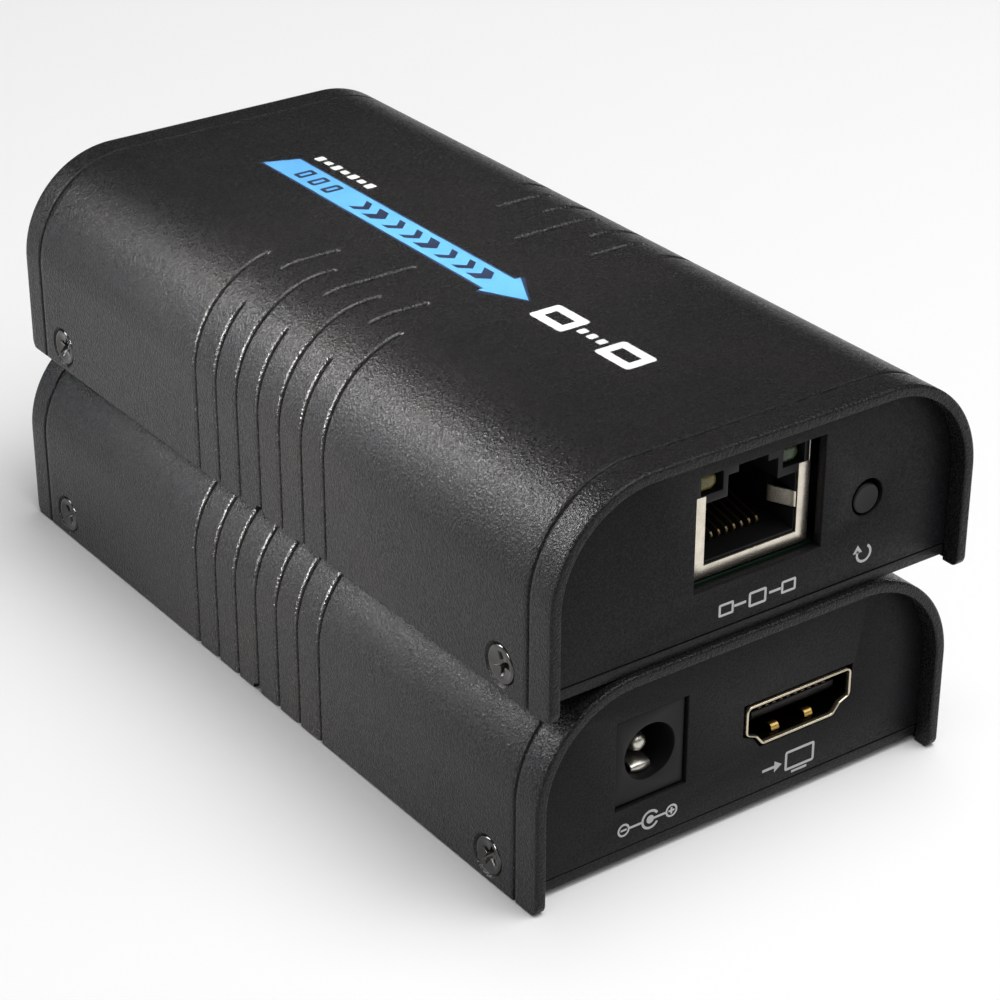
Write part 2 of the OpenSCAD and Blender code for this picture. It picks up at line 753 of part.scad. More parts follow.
module display_contacts() color("#d2a94c") {
    for (row = [0, 1]) {
        s = row == 0 ? 1 : -1;
        level = av_low + tongue_z + s * (tongue_t / 2 + contact_t / 2);
        tail = av_l + tail_l * (row == 0 ? 2 : 1);
        for (i = [0:av_rows[row] - 1]) {
            translate([av_x + (i - (av_rows[row] - 1) / 2) * contact_pitch - contact_w / 2, av_face_y, 0]) {
                rotate([90, 0, -90]) mirror([0, 0, 1]) linear_extrude(height = contact_w) polygon([
                    [tongue_back + contact_t, level - contact_t / 2],
                    [tail - contact_t, level - contact_t / 2],
                    [tail - contact_t, board_top],
                    [tail + tail_l / 2, board_top],
                    [tail + tail_l / 2, board_top + contact_t],
                    [tail, board_top + contact_t],
                    [tail, level + contact_t / 2],
                    [tongue_back + contact_t, level + contact_t / 2]
                ]);
            }
        }
    }
}

// Shape on the power socket's axis, from one depth behind its face to another
module on_barrel(from, to, r, tip_r) {
    translate([dc_x, dc_face_y - from, dc_axis]) rotate([90, 0, 0]) {
        cylinder(r1 = r, r2 = tip_r, h = to - from);
    }
}

module power_housing() color("#1d1d1f") difference() {
    union() {
        translate([dc_x - dc_w / 2, dc_face_y - dc_front_l, board_top]) cube([dc_w, dc_front_l, dc_h]);
        translate([dc_x - dc_body_w / 2, dc_face_y - dc_l, board_top]) {
            cube([dc_body_w, dc_l - dc_front_l / 2, dc_axis_h]);
        }
        on_barrel(dc_front_l / 2, dc_l, dc_body_w / 2, dc_body_w / 2);
    }
    on_barrel(-overrun, barrel_l, barrel_r, barrel_r);
    on_barrel(0, dc_l + overrun, pin_tail_r + press_gap, pin_tail_r + press_gap);
    translate([dc_x - leaf_w / 2 - press_gap, dc_face_y - barrel_l, board_top - overrun]) {
        cube([leaf_w + 2 * press_gap, leaf_end, dc_axis_h]);
    }
}

module power_pin() color("#d9d6cc") {
    on_barrel(pin_back, pin_back + pin_tip_l, pin_r / 2, pin_r);
    on_barrel(pin_back + pin_tip_l, barrel_l, pin_r, pin_r);
    on_barrel(barrel_l - pin_foot_t, barrel_l, pin_foot_r, pin_foot_r);
    on_barrel(barrel_l, dc_l + lug_t, pin_tail_r, pin_tail_r);
    translate([dc_x - lug_w / 2, dc_face_y - dc_l - lug_t, board_top]) {
        cube([lug_w, lug_t, dc_axis_h + lug_w / 2]);
    }
}

module power_spring() color("#c9c3b4") {
    low = -sqrt(barrel_r * barrel_r - leaf_w * leaf_w / 4) + press_gap;
    back = barrel_l - leaf_end / 2;
    bow = (leaf_end + back) / 2;
    translate([dc_x - leaf_w / 2, dc_face_y, dc_axis]) rotate([90, 0, -90]) mirror([0, 0, 1]) {
        linear_extrude(height = leaf_w) polygon([
            [back, low + leaf_t],
            [bow + leaf_end, low + leaf_t + leaf_rise],
            [bow - leaf_end, low + leaf_t + leaf_rise],
            [leaf_end, low + leaf_t],
            [leaf_end, low],
            [bow - leaf_end, low + leaf_rise],
            [bow + leaf_end, low + leaf_rise],
            [back - leaf_t, low],
            [back - leaf_t, board_top - dc_axis],
            [back, board_top - dc_axis]
        ]);
    }
}

module reset_switch() color("#26262a") {
    low = button_axis - switch_h / 2;
    difference() {
        translate([button_x - switch_w / 2, switch_face_y, low]) cube([switch_w, switch_t, switch_h]);
        translate([button_x, switch_face_y, button_axis]) rotate([-90, 0, 0]) translate([0, 0, -overrun]) {
            cylinder(r = button_r + button_gap, h = button_in + button_travel + press_gap + overrun);
        }
    }
    for (s = [-1, 1]) {
        x = button_x + s * (switch_w / 2 - leg_w) - leg_w / 2;
        translate([x, switch_face_y + switch_t / 2, board_top]) cube([leg_w, leg_w, low - board_top]);
    }
}

module reset_button() color("#2a2a2c") {
    translate([button_x, button_face_y, button_axis]) rotate([-90, 0, 0]) {
        cylinder(r = button_r, h = switch_face_y + button_in - button_face_y);
    }
}

module main_chip() color("#1b1b1d") translate([chip_x, chip_y, board_top]) {
    step = (chip_w - 2 * leg_w) / (chip_legs - 1);
    translate([-chip_w / 2, -chip_w / 2, leg_t]) cube([chip_w, chip_w, chip_h - leg_t]);
    for (a = [0:90:270], i = [0:chip_legs - 1]) rotate([0, 0, a]) {
        translate([chip_w / 2 - leg_reach, i * step - chip_w / 2 + leg_w - leg_t / 2, 0]) {
            cube([2 * leg_reach, leg_t, leg_t]);
        }
    }
}

module heat_sink() color("#3b3d42") translate([chip_x, chip_y, board_top + chip_h]) {
    step = (sink_w - fin_t) / (fin_count - 1);
    translate([-sink_w / 2, -sink_w / 2, 0]) cube([sink_w, sink_w, sink_foot]);
    for (i = [0:fin_count - 1]) {
        translate([i * step - sink_w / 2, -sink_w / 2, 0]) cube([fin_t, sink_w, sink_h]);
    }
}

module line_transformer() color("#202022") {
    legs = 8;
    step = (line_w - 2 * leg_w) / (legs - 1);
    translate([net_x, line_y, board_top]) {
        translate([-line_w / 2, -line_l / 2, leg_t]) cube([line_w, line_l, line_h - leg_t]);
        for (i = [0:legs - 1]) translate([i * step - line_w / 2 + leg_w / 2, -line_l / 2 - leg_reach, 0]) {
            cube([leg_w, line_l + 2 * leg_reach, leg_t]);
        }
    }
}

module capacitors() color("#8f9398") {
    for (i = [0:cap_count - 1]) translate([cap_x - i * cap_pitch, cap_y, board_top]) {
        translate([-cap_r, -cap_r, 0]) cube([2 * cap_r, 2 * cap_r, cap_h / 6]);
        cylinder(r = cap_r, h = cap_h);
    }
}

module power_coil() color("#5a5c60") translate([coil_x, coil_y, board_top]) {
    translate([-coil_w / 2, -coil_w / 2, 0]) cube([coil_w, coil_w, coil_h * 3 / 4]);
    cylinder(r = coil_w * 2 / 5, h = coil_h);
}

module regulator() color("#1b1b1d") translate([reg_x, cap_y, board_top]) {
    translate([-reg_w / 2, -reg_l / 2, leg_t]) cube([reg_w, reg_l, reg_h - leg_t]);
    for (i = [-1:1]) translate([i * reg_w / 3 - leg_w / 2, -reg_l / 2 - leg_reach, 0]) {
        cube([leg_w, reg_l / 2 + leg_reach, leg_t]);
    }
    translate([-reg_w / 4, 0, 0]) cube([reg_w / 2, reg_l / 2 + leg_reach, leg_t]);
}

module crystal() color("#c4c6c8") translate([crystal_x, chip_y, board_top]) {
    run = crystal_l - crystal_w;
    translate([-crystal_w / 2, -run / 2, 0]) cube([crystal_w, run, crystal_h]);
    for (s = [-1, 1]) translate([0, s * run / 2, 0]) cylinder(r = crystal_w / 2, h = crystal_h);
}

transmitter() cover();  // transmitter_cover
transmitter() base();  // transmitter_base
transmitter() display_panel();  // transmitter_front_panel
transmitter() network_panel();  // transmitter_rear_panel
transmitter() side_screws();  // transmitter_side_screws
transmitter() board();  // transmitter_board
transmitter() board_screws();  // transmitter_board_screws
transmitter() network_shield();  // transmitter_network_shield
transmitter() network_housing();  // transmitter_network_housing
transmitter() network_wires();  // transmitter_network_wires
transmitter() amber_light();  // transmitter_amber_light
transmitter() green_light();  // transmitter_green_light
transmitter() display_shell();  // transmitter_display_shell
transmitter() display_tongue();  // transmitter_display_tongue
transmitter() display_contacts();  // transmitter_display_contacts
transmitter() power_housing();  // transmitter_power_housing
transmitter() power_pin();  // transmitter_power_pin
transmitter() power_spring();  // transmitter_power_spring
transmitter() reset_switch();  // transmitter_reset_switch
transmitter() reset_button();  // transmitter_reset_button
transmitter() main_chip();  // transmitter_main_chip
transmitter() heat_sink();  // transmitter_heat_sink
transmitter() line_transformer();  // transmitter_line_transformer
transmitter() capacitors();  // transmitter_capacitors
transmitter() power_coil();  // transmitter_power_coil
transmitter() regulator();  // transmitter_regulator
transmitter() crystal();  // transmitter_crystal
receiver() cover();  // receiver_cover
receiver() base();  // receiver_base
receiver() network_panel();  // receiver_front_panel
receiver() display_panel();  // receiver_rear_panel
receiver() side_screws();  // receiver_side_screws
receiver() board();  // receiver_board
receiver() board_screws();  // receiver_board_screws
receiver() network_shield();  // receiver_network_shield
receiver() network_housing();  // receiver_network_housing
receiver() network_wires();  // receiver_network_wires
receiver() amber_light();  // receiver_amber_light
receiver() green_light();  // receiver_green_light
receiver() display_shell();  // receiver_display_shell
receiver() display_tongue();  // receiver_display_tongue
receiver() display_contacts();  // receiver_display_contacts
receiver() power_housing();  // receiver_power_housing
receiver() power_pin();  // receiver_power_pin
receiver() power_spring();  // receiver_power_spring
receiver() reset_switch();  // receiver_reset_switch
receiver() reset_button();  // receiver_reset_button
receiver() main_chip();  // receiver_main_chip
receiver() heat_sink();  // receiver_heat_sink
receiver() line_transformer();  // receiver_line_transformer
receiver() capacitors();  // receiver_capacitors
receiver() power_coil();  // receiver_power_coil
receiver() regulator();  // receiver_regulator
receiver() crystal();  // receiver_crystal
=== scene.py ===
import json
import math
from types import SimpleNamespace
import bmesh
import bpy
import numpy as np
from mathutils import Matrix, Vector


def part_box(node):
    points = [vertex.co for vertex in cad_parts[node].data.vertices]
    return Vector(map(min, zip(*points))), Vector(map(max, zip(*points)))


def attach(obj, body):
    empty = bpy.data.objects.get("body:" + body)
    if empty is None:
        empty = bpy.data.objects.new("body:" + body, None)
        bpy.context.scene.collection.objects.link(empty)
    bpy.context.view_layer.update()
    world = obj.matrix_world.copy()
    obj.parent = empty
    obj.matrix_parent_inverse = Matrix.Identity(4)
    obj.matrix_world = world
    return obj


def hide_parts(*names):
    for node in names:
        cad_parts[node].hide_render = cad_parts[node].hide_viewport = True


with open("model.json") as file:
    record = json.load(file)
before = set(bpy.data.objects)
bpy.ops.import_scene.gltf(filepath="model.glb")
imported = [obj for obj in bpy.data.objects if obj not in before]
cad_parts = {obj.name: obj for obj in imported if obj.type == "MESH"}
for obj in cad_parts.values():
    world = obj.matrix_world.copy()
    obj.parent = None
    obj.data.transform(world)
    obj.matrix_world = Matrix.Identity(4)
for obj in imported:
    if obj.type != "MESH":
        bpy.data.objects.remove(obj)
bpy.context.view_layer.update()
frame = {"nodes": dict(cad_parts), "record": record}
scene = bpy.context.scene
mm = 0.001
units = ("transmitter", "receiver")
print("frame loaded:", len(frame["nodes"]), "nodes")


def named(setup):
    # a piece's dictionary, read by name
    return SimpleNamespace(**setup)


# Camera, from the photograph's own perspective
cameraSetup = {"position": (-0.17118, -0.24507, 0.17662), "target": (-0.002516, -0.011435, 0.02244),
               "lens": 103.47, "sensor": 36, "roll": 0.0027, "clip": (0.01, 20)}


def addCamera():
    s = named(cameraSetup)
    data = bpy.data.cameras.new("photoCamera")
    data.lens, data.sensor_width = s.lens, s.sensor
    data.clip_start, data.clip_end = s.clip
    camera = bpy.data.objects.new("photoCamera", data)
    scene.collection.objects.link(camera)
    aim = (Vector(s.target) - Vector(s.position)).to_track_quat("-Z", "Y").to_matrix()
    camera.rotation_mode = "QUATERNION"
    camera.rotation_quaternion = (aim @ Matrix.Rotation(s.roll, 3, "Z")).to_quaternion()
    camera.location = s.position
    scene.camera = camera


addCamera()


# Materials: each reads Object coordinates, which are metres in the part's own frame

def startMaterial(name, color, metallic, roughness, **extra):
    material = bpy.data.materials.new(name)
    material.use_nodes = True
    nodes, links = material.node_tree.nodes, material.node_tree.links
    nodes.clear()
    surface = nodes.new("ShaderNodeBsdfPrincipled")
    links.new(surface.outputs["BSDF"], nodes.new("ShaderNodeOutputMaterial").inputs["Surface"])
    values = {"Base_Color": (*color, 1), "Metallic": metallic, "Roughness": roughness, **extra}
    for label, value in values.items():
        surface.inputs[label.replace("_", " ")].default_value = value
    coords = nodes.new("ShaderNodeTexCoord").outputs["Object"]
    return SimpleNamespace(material=material, nodes=nodes, links=links, surface=surface, coords=coords)


def addNoise(m, size, detail=2, stretch=None):
    # size is the grain's width in millimetres
    noise = m.nodes.new("ShaderNodeTexNoise")
    noise.inputs["Scale"].default_value = 1 / (size * mm)
    noise.inputs["Detail"].default_value = detail
    source = m.coords
    if stretch:
        mapping = m.nodes.new("ShaderNodeMapping")
        mapping.inputs["Scale"].default_value = stretch
        m.links.new(source, mapping.inputs["Vector"])
        source = mapping.outputs["Vector"]
    m.links.new(source, noise.inputs["Vector"])
    return noise.outputs["Fac"]


def remap(m, value, low, high, outLow=0, outHigh=1):
    node = m.nodes.new("ShaderNodeMapRange")
    for label, number in zip(("From Min", "From Max", "To Min", "To Max"), (low, high, outLow, outHigh)):
        node.inputs[label].default_value = number
    m.links.new(value, node.inputs["Value"])
    return node.outputs["Result"]


def combineValues(m, operation, *values):
    node = m.nodes.new("ShaderNodeMath")
    node.operation = operation
    for socket, value in zip(node.inputs, values):
        m.links.new(value, socket)
    return node.outputs["Value"]


def mixColors(m, factor, first, second):
    node = m.nodes.new("ShaderNodeMix")
    node.data_type = "RGBA"
    m.links.new(factor, node.inputs["Factor"])
    sockets = [socket for socket in node.inputs if socket.type == "RGBA"]
    for socket, color in zip(sockets, (first, second)):
        if isinstance(color, tuple):
            socket.default_value = (*color, 1)
        else:
            m.links.new(color, socket)
    return [socket for socket in node.outputs if socket.type == "RGBA"][0]


def addBump(m, height, distance, strength=1.0, after=None):
    bump = m.nodes.new("ShaderNodeBump")
    bump.inputs["Strength"].default_value = strength
    bump.inputs["Distance"].default_value = distance * mm
    m.links.new(height, bump.inputs["Height"])
    if after is not None:
        m.links.new(after, bump.inputs["Normal"])
    return bump.outputs["Normal"]


def feed(m, **values):
    for label, value in values.items():
        m.links.new(value, m.surface.inputs[label.replace("_", " ")])


# lip and slit: how deep the cover is pressed in where its paint turns glossy and then dull, in millimetres
coatSetup = {"cloud": 14, "fineShare": 0.6, "spread": 0.1, "lip": (0, 0.05), "slit": (0.13, 0.18),
             "lipShine": 0.33, "slitShine": 0.03}


def powderCoat(name, dark, light, speckle, roughness, grain, depth, specular):
    s = named(coatSetup)
    m = startMaterial(name, dark, 0, roughness, Specular_IOR_Level=specular)
    coarse, fine, cloud = addNoise(m, grain), addNoise(m, grain * s.fineShare, 1), addNoise(m, s.cloud)
    tint = mixColors(m, remap(m, cloud, 0.35, 0.65), dark, light)
    pressed = m.nodes.new("ShaderNodeAttribute")
    pressed.attribute_name = "pressed"
    lip = remap(m, pressed.outputs["Fac"], *s.lip, specular, specular + s.lipShine)
    slit = remap(m, pressed.outputs["Fac"], *s.slit, specular + s.lipShine, s.slitShine)
    feed(m, Base_Color=mixColors(m, remap(m, fine, 0.46, 0.66), tint, speckle),
         Roughness=remap(m, coarse, 0.35, 0.65, roughness + s.spread, roughness - s.spread),
         Specular_IOR_Level=combineValues(m, "MINIMUM", lip, slit),
         Normal=addBump(m, fine, depth * s.fineShare, 1.0, addBump(m, coarse, depth)))
    return m.material


# metal, size and detail of the colour's clouds, their contrast, and how far the roughness varies
finishKinds = {"plated": (1, None, 3, (0.3, 0.7), (-0.06, 0.08)), "moulded": (0, 5, 2, (0.35, 0.65), (-0.05, 0.06))}


def plainFinish(kind, name, color, shade, roughness, grain, depth, stretch=None, **extra):
    metallic, cloud, detail, contrast, spread = finishKinds[kind]
    m = startMaterial(name, color, metallic, roughness, **extra)
    texture = addNoise(m, grain, 2, stretch)
    clouds = addNoise(m, cloud or grain * 6, detail)
    feed(m, Base_Color=mixColors(m, remap(m, clouds, *contrast), color, shade),
         Roughness=remap(m, texture, 0.3, 0.7, roughness + spread[0], roughness + spread[1]),
         Normal=addBump(m, texture, depth, 0.6))
    return m.material


def drawnShell(name, color, shade, roughness, ends):
    # painted shade: bright at the mouth and painted darker further in, where the drawn sheet's inside and the springs
    # lie in their own shadow
    m = startMaterial(name, color, 1, roughness)
    texture = addNoise(m, 0.12)
    split = m.nodes.new("ShaderNodeSeparateXYZ")
    m.links.new(m.coords, split.inputs["Vector"])
    away = combineValues(m, "ABSOLUTE", split.outputs["Y"])
    feed(m, Base_Color=mixColors(m, remap(m, away, ends[0] * mm, ends[1] * mm), shade, color),
         Roughness=remap(m, texture, 0.3, 0.7, roughness - 0.05, roughness + 0.05),
         Normal=addBump(m, texture, 0.0012, 0.5))
    return m.material


# coats: dark, light, speckle, roughness, grain, depth, specular; the rest: colour, shade, roughness, grain, depth
finishes = {
    "case_coating": powderCoat("sparklingPowderCoat", (0.005, 0.005, 0.005), (0.0075, 0.007, 0.0065),
                               (0.017, 0.0165, 0.017), 0.28, 0.34, 0.105, 0.17),
    "base_coating": powderCoat("basePowderCoat", (0.006, 0.006, 0.007), (0.009, 0.009, 0.0095),
                               (0.02, 0.02, 0.021), 0.4, 0.32, 0.06, 0.19),
    "panel_coating": powderCoat("panelSmoothCoat", (0.004, 0.0037, 0.0045), (0.006, 0.0055, 0.0065),
                                (0.013, 0.012, 0.014), 0.48, 0.26, 0.03, 0.14),
    # the shell's gold is painted darker past its mouth, as painted shade
    "shell_gold": drawnShell("shellPaleGold", (0.6, 0.53, 0.4), (0.02, 0.016, 0.01), 0.3, (50.75, 51.1)),
}
# the plug springs' gold is painted darker further into the socket, as painted shade
springGold = drawnShell("springGold", (0.7, 0.47, 0.15), (0.05, 0.03, 0.01), 0.38, (49.2, 49.9))
platedRows = [
    ("screw_plating", "screwNickel", (0.1, 0.098, 0.095), (0.07, 0.068, 0.066), 0.18, 0.2, 0.004),
    ("shield_plating", "shieldNickel", (0.78, 0.72, 0.62), (0.66, 0.6, 0.5), 0.3, 0.15, 0.004, (1, 1, 6)),
    # painted shade: the contacts' gold is painted dark all over, standing in for the shadow deep inside the sockets
    ("contact_gold", "contactGoldDarkenedAsShade", (0.3, 0.22, 0.12), (0.24, 0.17, 0.09), 0.35, 0.12, 0.004),
    ("pin_plating", "pinNickel", (0.66, 0.64, 0.58), (0.56, 0.54, 0.48), 0.34, 0.3, 0.001),
    ("sink_anodised", "sinkAnodised", (0.05, 0.05, 0.055), (0.07, 0.07, 0.075), 0.45, 0.2, 0.004, (8, 1, 1)),
    ("can_aluminium", "canAluminium", (0.75, 0.76, 0.78), (0.65, 0.66, 0.68), 0.35, 0.2, 0.004, (1, 1, 8)),
    ("can_steel", "canSteel", (0.7, 0.7, 0.7), (0.6, 0.6, 0.6), 0.3, 0.2, 0.004, (1, 6, 1)),
]
glassy = {"Transmission_Weight": 0.3}
mouldedRows = [
    ("socket_plastic", "socketBlackMoulding", (0.004, 0.0038, 0.0042), (0.006, 0.0056, 0.006), 0.45, 0.12, 0.006,
     {"Specular_IOR_Level": 0.22}),
    ("switch_plastic", "switchMoulding", (0.014, 0.014, 0.015), (0.02, 0.02, 0.021), 0.5, 0.12, 0.006, {}),
    ("button_plastic", "buttonMoulding", (0.004, 0.004, 0.0045), (0.006, 0.0058, 0.0064), 0.42, 0.12, 0.006,
     {"Specular_IOR_Level": 0.24}),
    ("amber_window", "amberLens", (0.17, 0.14, 0.016), (0.12, 0.1, 0.012), 0.3, 0.3, 0.004, glassy),
    ("green_window", "greenLens", (0.05, 0.085, 0.03), (0.038, 0.065, 0.024), 0.3, 0.3, 0.004, glassy),
    ("board_laminate", "boardSolderMask", (0.003, 0.012, 0.007), (0.004, 0.016, 0.009), 0.35, 0.4, 0.01, {}),
    ("chip_plastic", "chipEpoxy", (0.012, 0.012, 0.013), (0.018, 0.018, 0.019), 0.6, 0.1, 0.006, {}),
    ("coil_ferrite", "coilFerrite", (0.05, 0.05, 0.055), (0.07, 0.07, 0.075), 0.7, 0.15, 0.02, {}),
]
for slotName, *values in platedRows:
    finishes[slotName] = plainFinish("plated", *values)
for slotName, *values, extra in mouldedRows:
    finishes[slotName] = plainFinish("moulded", *values, **extra)
inkRows = {"blue": ("printSkyBlue", (0.07, 0.25, 0.5), (0.08, 0.265, 0.52)),
           "navy": ("printNavy", (0.008, 0.014, 0.035), (0.01, 0.018, 0.045)),
           "white": ("printWhite", (0.5, 0.5, 0.49), (0.45, 0.45, 0.44)),
           "grey": ("printPaleGrey", (0.48, 0.47, 0.48), (0.42, 0.41, 0.42))}
inks = {ink: plainFinish("moulded", *row, 0.5, 0.2 if ink == "grey" else 0.25, 0.01) for ink, row in inkRows.items()}
nodeSlots = {row["node"]: row["material_slot"] for row in frame["record"]["subparts"]}
for nodeName, node in frame["nodes"].items():
    finish = finishes[nodeSlots[nodeName]]
    if node.material_slots:
        for place in node.material_slots:
            place.material = finish
    else:
        node.data.materials.append(finish)
print("materials ready:", len(finishes) + len(inks))


# Helpers for pieces. A piece is drawn in millimetres in its unit's own frame, like the part's source.

def unitFrame(unit):
    low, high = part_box(unit + "_cover")
    turn = Matrix.Rotation(math.pi, 4, "Z") if unit == "transmitter" else Matrix.Identity(4)
    return Matrix.Translation(((low.x + high.x) / 2, (low.y + high.y) / 2, low.z)) @ turn


unitFrames = {unit: unitFrame(unit) for unit in units}


def nodeBox(node, unit="receiver"):
    # low corner, high corner and middle of a node in its unit's frame, the same in both units
    low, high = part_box(f"{unit}_{node}")
    inverse = unitFrames[unit].inverted()
    corners = [inverse @ low / mm, inverse @ high / mm]
    low, high = [Vector(map(pick, *corners)) for pick in (min, max)]
    return low, high, (low + high) / 2


def newObject(name, data):
    piece = bpy.data.objects.new(name, data)
    scene.collection.objects.link(piece)
    return piece


def meshObject(name, points, faces):
    mesh = bpy.data.meshes.new(name)
    mesh.from_pydata([tuple(p) for p in points], [], faces)
    mesh.transform(Matrix.Scale(mm, 4))
    return newObject(name, mesh)


def bakeModifiers(piece):
    mesh = bpy.data.meshes.new_from_object(piece.evaluated_get(bpy.context.evaluated_depsgraph_get()))
    piece.modifiers.clear()
    piece.data = mesh
    return piece


def applyModifier(piece, kind, **settings):
    modifier = piece.modifiers.new(kind.lower(), kind)
    for label, value in settings.items():
        setattr(modifier, label, value)
    return bakeModifiers(piece)


def bevelEdges(piece, width, segments, angle):
    return applyModifier(piece, "BEVEL", width=width * mm, segments=segments,
                         limit_method="ANGLE", angle_limit=math.radians(angle))


def combine(piece, other, operation="DIFFERENCE", solver="MANIFOLD"):
    applyModifier(piece, "BOOLEAN", operation=operation, solver=solver, object=other)
    bpy.data.objects.remove(other)
    return piece


def smoothShade(piece, sharpAngle):
    piece.data.shade_smooth()
    piece.data.set_sharp_from_angle(angle=math.radians(sharpAngle))


def tidyMesh(piece, sharpAngle=35, recalculate=True):
    work = bmesh.new()
    work.from_mesh(piece.data)
    bmesh.ops.remove_doubles(work, verts=work.verts, dist=1e-7)
    if recalculate:
        bmesh.ops.recalc_face_normals(work, faces=work.faces)
    work.to_mesh(piece.data)
    work.free()
    smoothShade(piece, sharpAngle)
    return piece


def settle(piece, unit, slotName, nodes=(), material=None, body=None):
    piece.data.materials.clear()
    piece.data.materials.append(material or finishes[slotName])
    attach(piece, body or unit)
    if nodes:
        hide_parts(*[f"{unit}_{node}" for node in nodes])
    return piece


def dress(draft, suffix, slotName, nodes, material=None, body=None):
    # the same piece on both units, then the draft goes
    for unit in units:
        placed = newObject(unit + suffix, draft.data.copy())
        placed.data.transform(unitFrames[unit])
        settle(placed, unit, slotName, nodes, material, body and unit + body)
    bpy.data.objects.remove(draft)


def joinPieces(name, pieces):
    work = bmesh.new()
    for piece in pieces:
        work.from_mesh(piece.data)
        bpy.data.objects.remove(piece)
    mesh = bpy.data.meshes.new(name)
    work.to_mesh(mesh)
    work.free()
    return newObject(name, mesh)


def ringFaces(count, rings, wrap=False, flip=False):
    # quads between neighbouring rings of points; wrap joins the last ring to the first
    faces = []
    for r in range(rings if wrap else rings - 1):
        for i in range(count):
            a, b = r * count + i, r * count + (i + 1) % count
            c, d = [(v + count) % (count * rings) for v in (b, a)]
            faces.append((a, d, c, b) if flip else (a, b, c, d))
    return faces


def outlineSolid(name, rings):
    # closed loops of equal length, joined one to the next, with a face on the first and the last
    count, total = len(rings[0]), len(rings) * len(rings[0])
    faces = ringFaces(count, len(rings)) + [tuple(range(count)), tuple(range(total - count, total))]
    return tidyMesh(meshObject(name, [p for ring in rings for p in ring], faces))


def prism(name, outline, start, stop):
    # outline of (x, z), run from y = start to y = stop
    return outlineSolid(name, [[(x, y, z) for x, z in outline] for y in (start, stop)])


def around(middle, width):
    return middle - width / 2, middle + width / 2


def block(name, xs, ys, zs, rounding=0.0, segments=2):
    # each pair is low and high
    points = [(x, y, z) for x in xs for y in ys for z in zs]
    faces = [(0, 1, 3, 2), (4, 6, 7, 5), (0, 4, 5, 1), (2, 3, 7, 6), (0, 2, 6, 4), (1, 5, 7, 3)]
    piece = meshObject(name, points, faces)
    if rounding:
        applyModifier(piece, "BEVEL", width=rounding * mm, segments=segments, limit_method="NONE")
    return tidyMesh(piece)


def lathe(name, rows, segments=48, axis="Z", at=(0, 0, 0)):
    # rows: (radius, distance along the axis); a radius of 0 closes that end in a point
    points, faces, starts = [], [], []
    for radius, along in rows:
        starts.append(len(points))
        angles = [2 * math.pi * k / segments for k in range(segments if radius else 1)]
        points += [(radius * math.cos(a), radius * math.sin(a), along) for a in angles]
    for (r0, _), (r1, _), s0, s1 in zip(rows, rows[1:], starts, starts[1:]):
        for k in range(segments):
            n = (k + 1) % segments
            if r0 == 0:
                faces.append((s0, s1 + k, s1 + n))
            elif r1 == 0:
                faces.append((s0 + k, s1, s0 + n))
            else:
                faces.append((s0 + k, s1 + k, s1 + n, s0 + n))
    if axis == "Y":
        points = [(x, z, y) for x, y, z in points]
    return tidyMesh(meshObject(name, [(x + at[0], y + at[1], z + at[2]) for x, y, z in points], faces))


def quarter(steps, first=0):
    # (sine, cosine) round a quarter circle
    return [(math.sin(a), math.cos(a)) for a in (k * math.pi / (2 * steps) for k in range(first, steps + 1))]


def soften(piece, width, angle=50):
    bevelEdges(tidyMesh(piece, 30), width, 2, angle)
    return tidyMesh(piece, 50, False)


def rectangle(left, low, right, high):
    return [(left, low), (right, low), (right, high), (left, high)]


def filletLoop(corners, radii, segments=5):
    # rounds each corner of a closed outline, always with the same number of points
    points = []
    for i, corner in enumerate(corners):
        here = Vector(corner)
        back, ahead = Vector(corners[i - 1]) - here, Vector(corners[(i + 1) % len(corners)]) - here
        half = back.angle(ahead) / 2
        reach = min(radii[i] / math.tan(half), back.length * 0.48, ahead.length * 0.48)
        radius = reach * math.tan(half)
        centre = here + (back.normalized() + ahead.normalized()).normalized() * (radius / math.sin(half))
        first, last = [here + way.normalized() * reach - centre for way in (back, ahead)]
        start = math.atan2(first.y, first.x)
        sweep = math.atan2(first.x * last.y - first.y * last.x, first.dot(last))
        for a in (start + sweep * k / segments for k in range(segments + 1)):
            points.append((centre.x + radius * math.cos(a), centre.y + radius * math.sin(a)))
    return points


def bentStrip(name, path, width, thickness, plane, curl=0.0):
    # a flat strip along a path; plane maps (across, p, q) to a place, and curl bends the strip's width
    rounding = min(width, thickness) * 0.28
    w, t = width / 2, thickness / 2
    shares = [-1 + k / 3 for k in range(7)] if curl else [-1, 1]
    upper = [(s * (w - rounding if abs(s) == 1 else w), t) for s in shares]
    lower = [(a, -b) for a, b in reversed(upper)]
    section = [(-w, t - rounding)] + upper + [(w, t - rounding), (w, -t + rounding)] + lower + [(-w, -t + rounding)]
    rings = []
    for i, (p, q) in enumerate(path):
        before, after = Vector(path[max(i - 1, 0)]), Vector(path[min(i + 1, len(path) - 1)])
        along = (after - before).normalized()
        turn = 1.0
        if 0 < i < len(path) - 1:
            turn = 1 / max(0.6, abs((Vector((p, q)) - before).normalized().dot(along)))
        lifts = [(across, up * turn + curl * (across / w) ** 2) for across, up in section]
        rings.append([plane(across, p - along.y * lift, q + along.x * lift) for across, lift in lifts])
    return outlineSolid(name, rings)


def smoothPath(points, steps=5):
    # Catmull-Rom curve through the points
    padded = [points[0]] + list(points) + [points[-1]]
    path = []
    for near in zip(padded, padded[1:], padded[2:], padded[3:]):
        for s in (k / steps for k in range(steps)):
            path.append(tuple(0.5 * (2 * q + (r - p) * s + (2 * p - 5 * q + 4 * r - v) * s * s
                                     + (3 * q - p - 3 * r + v) * s ** 3) for p, q, r, v in zip(*near)))
    return path + [tuple(points[-1])]


# Geometry Nodes trees

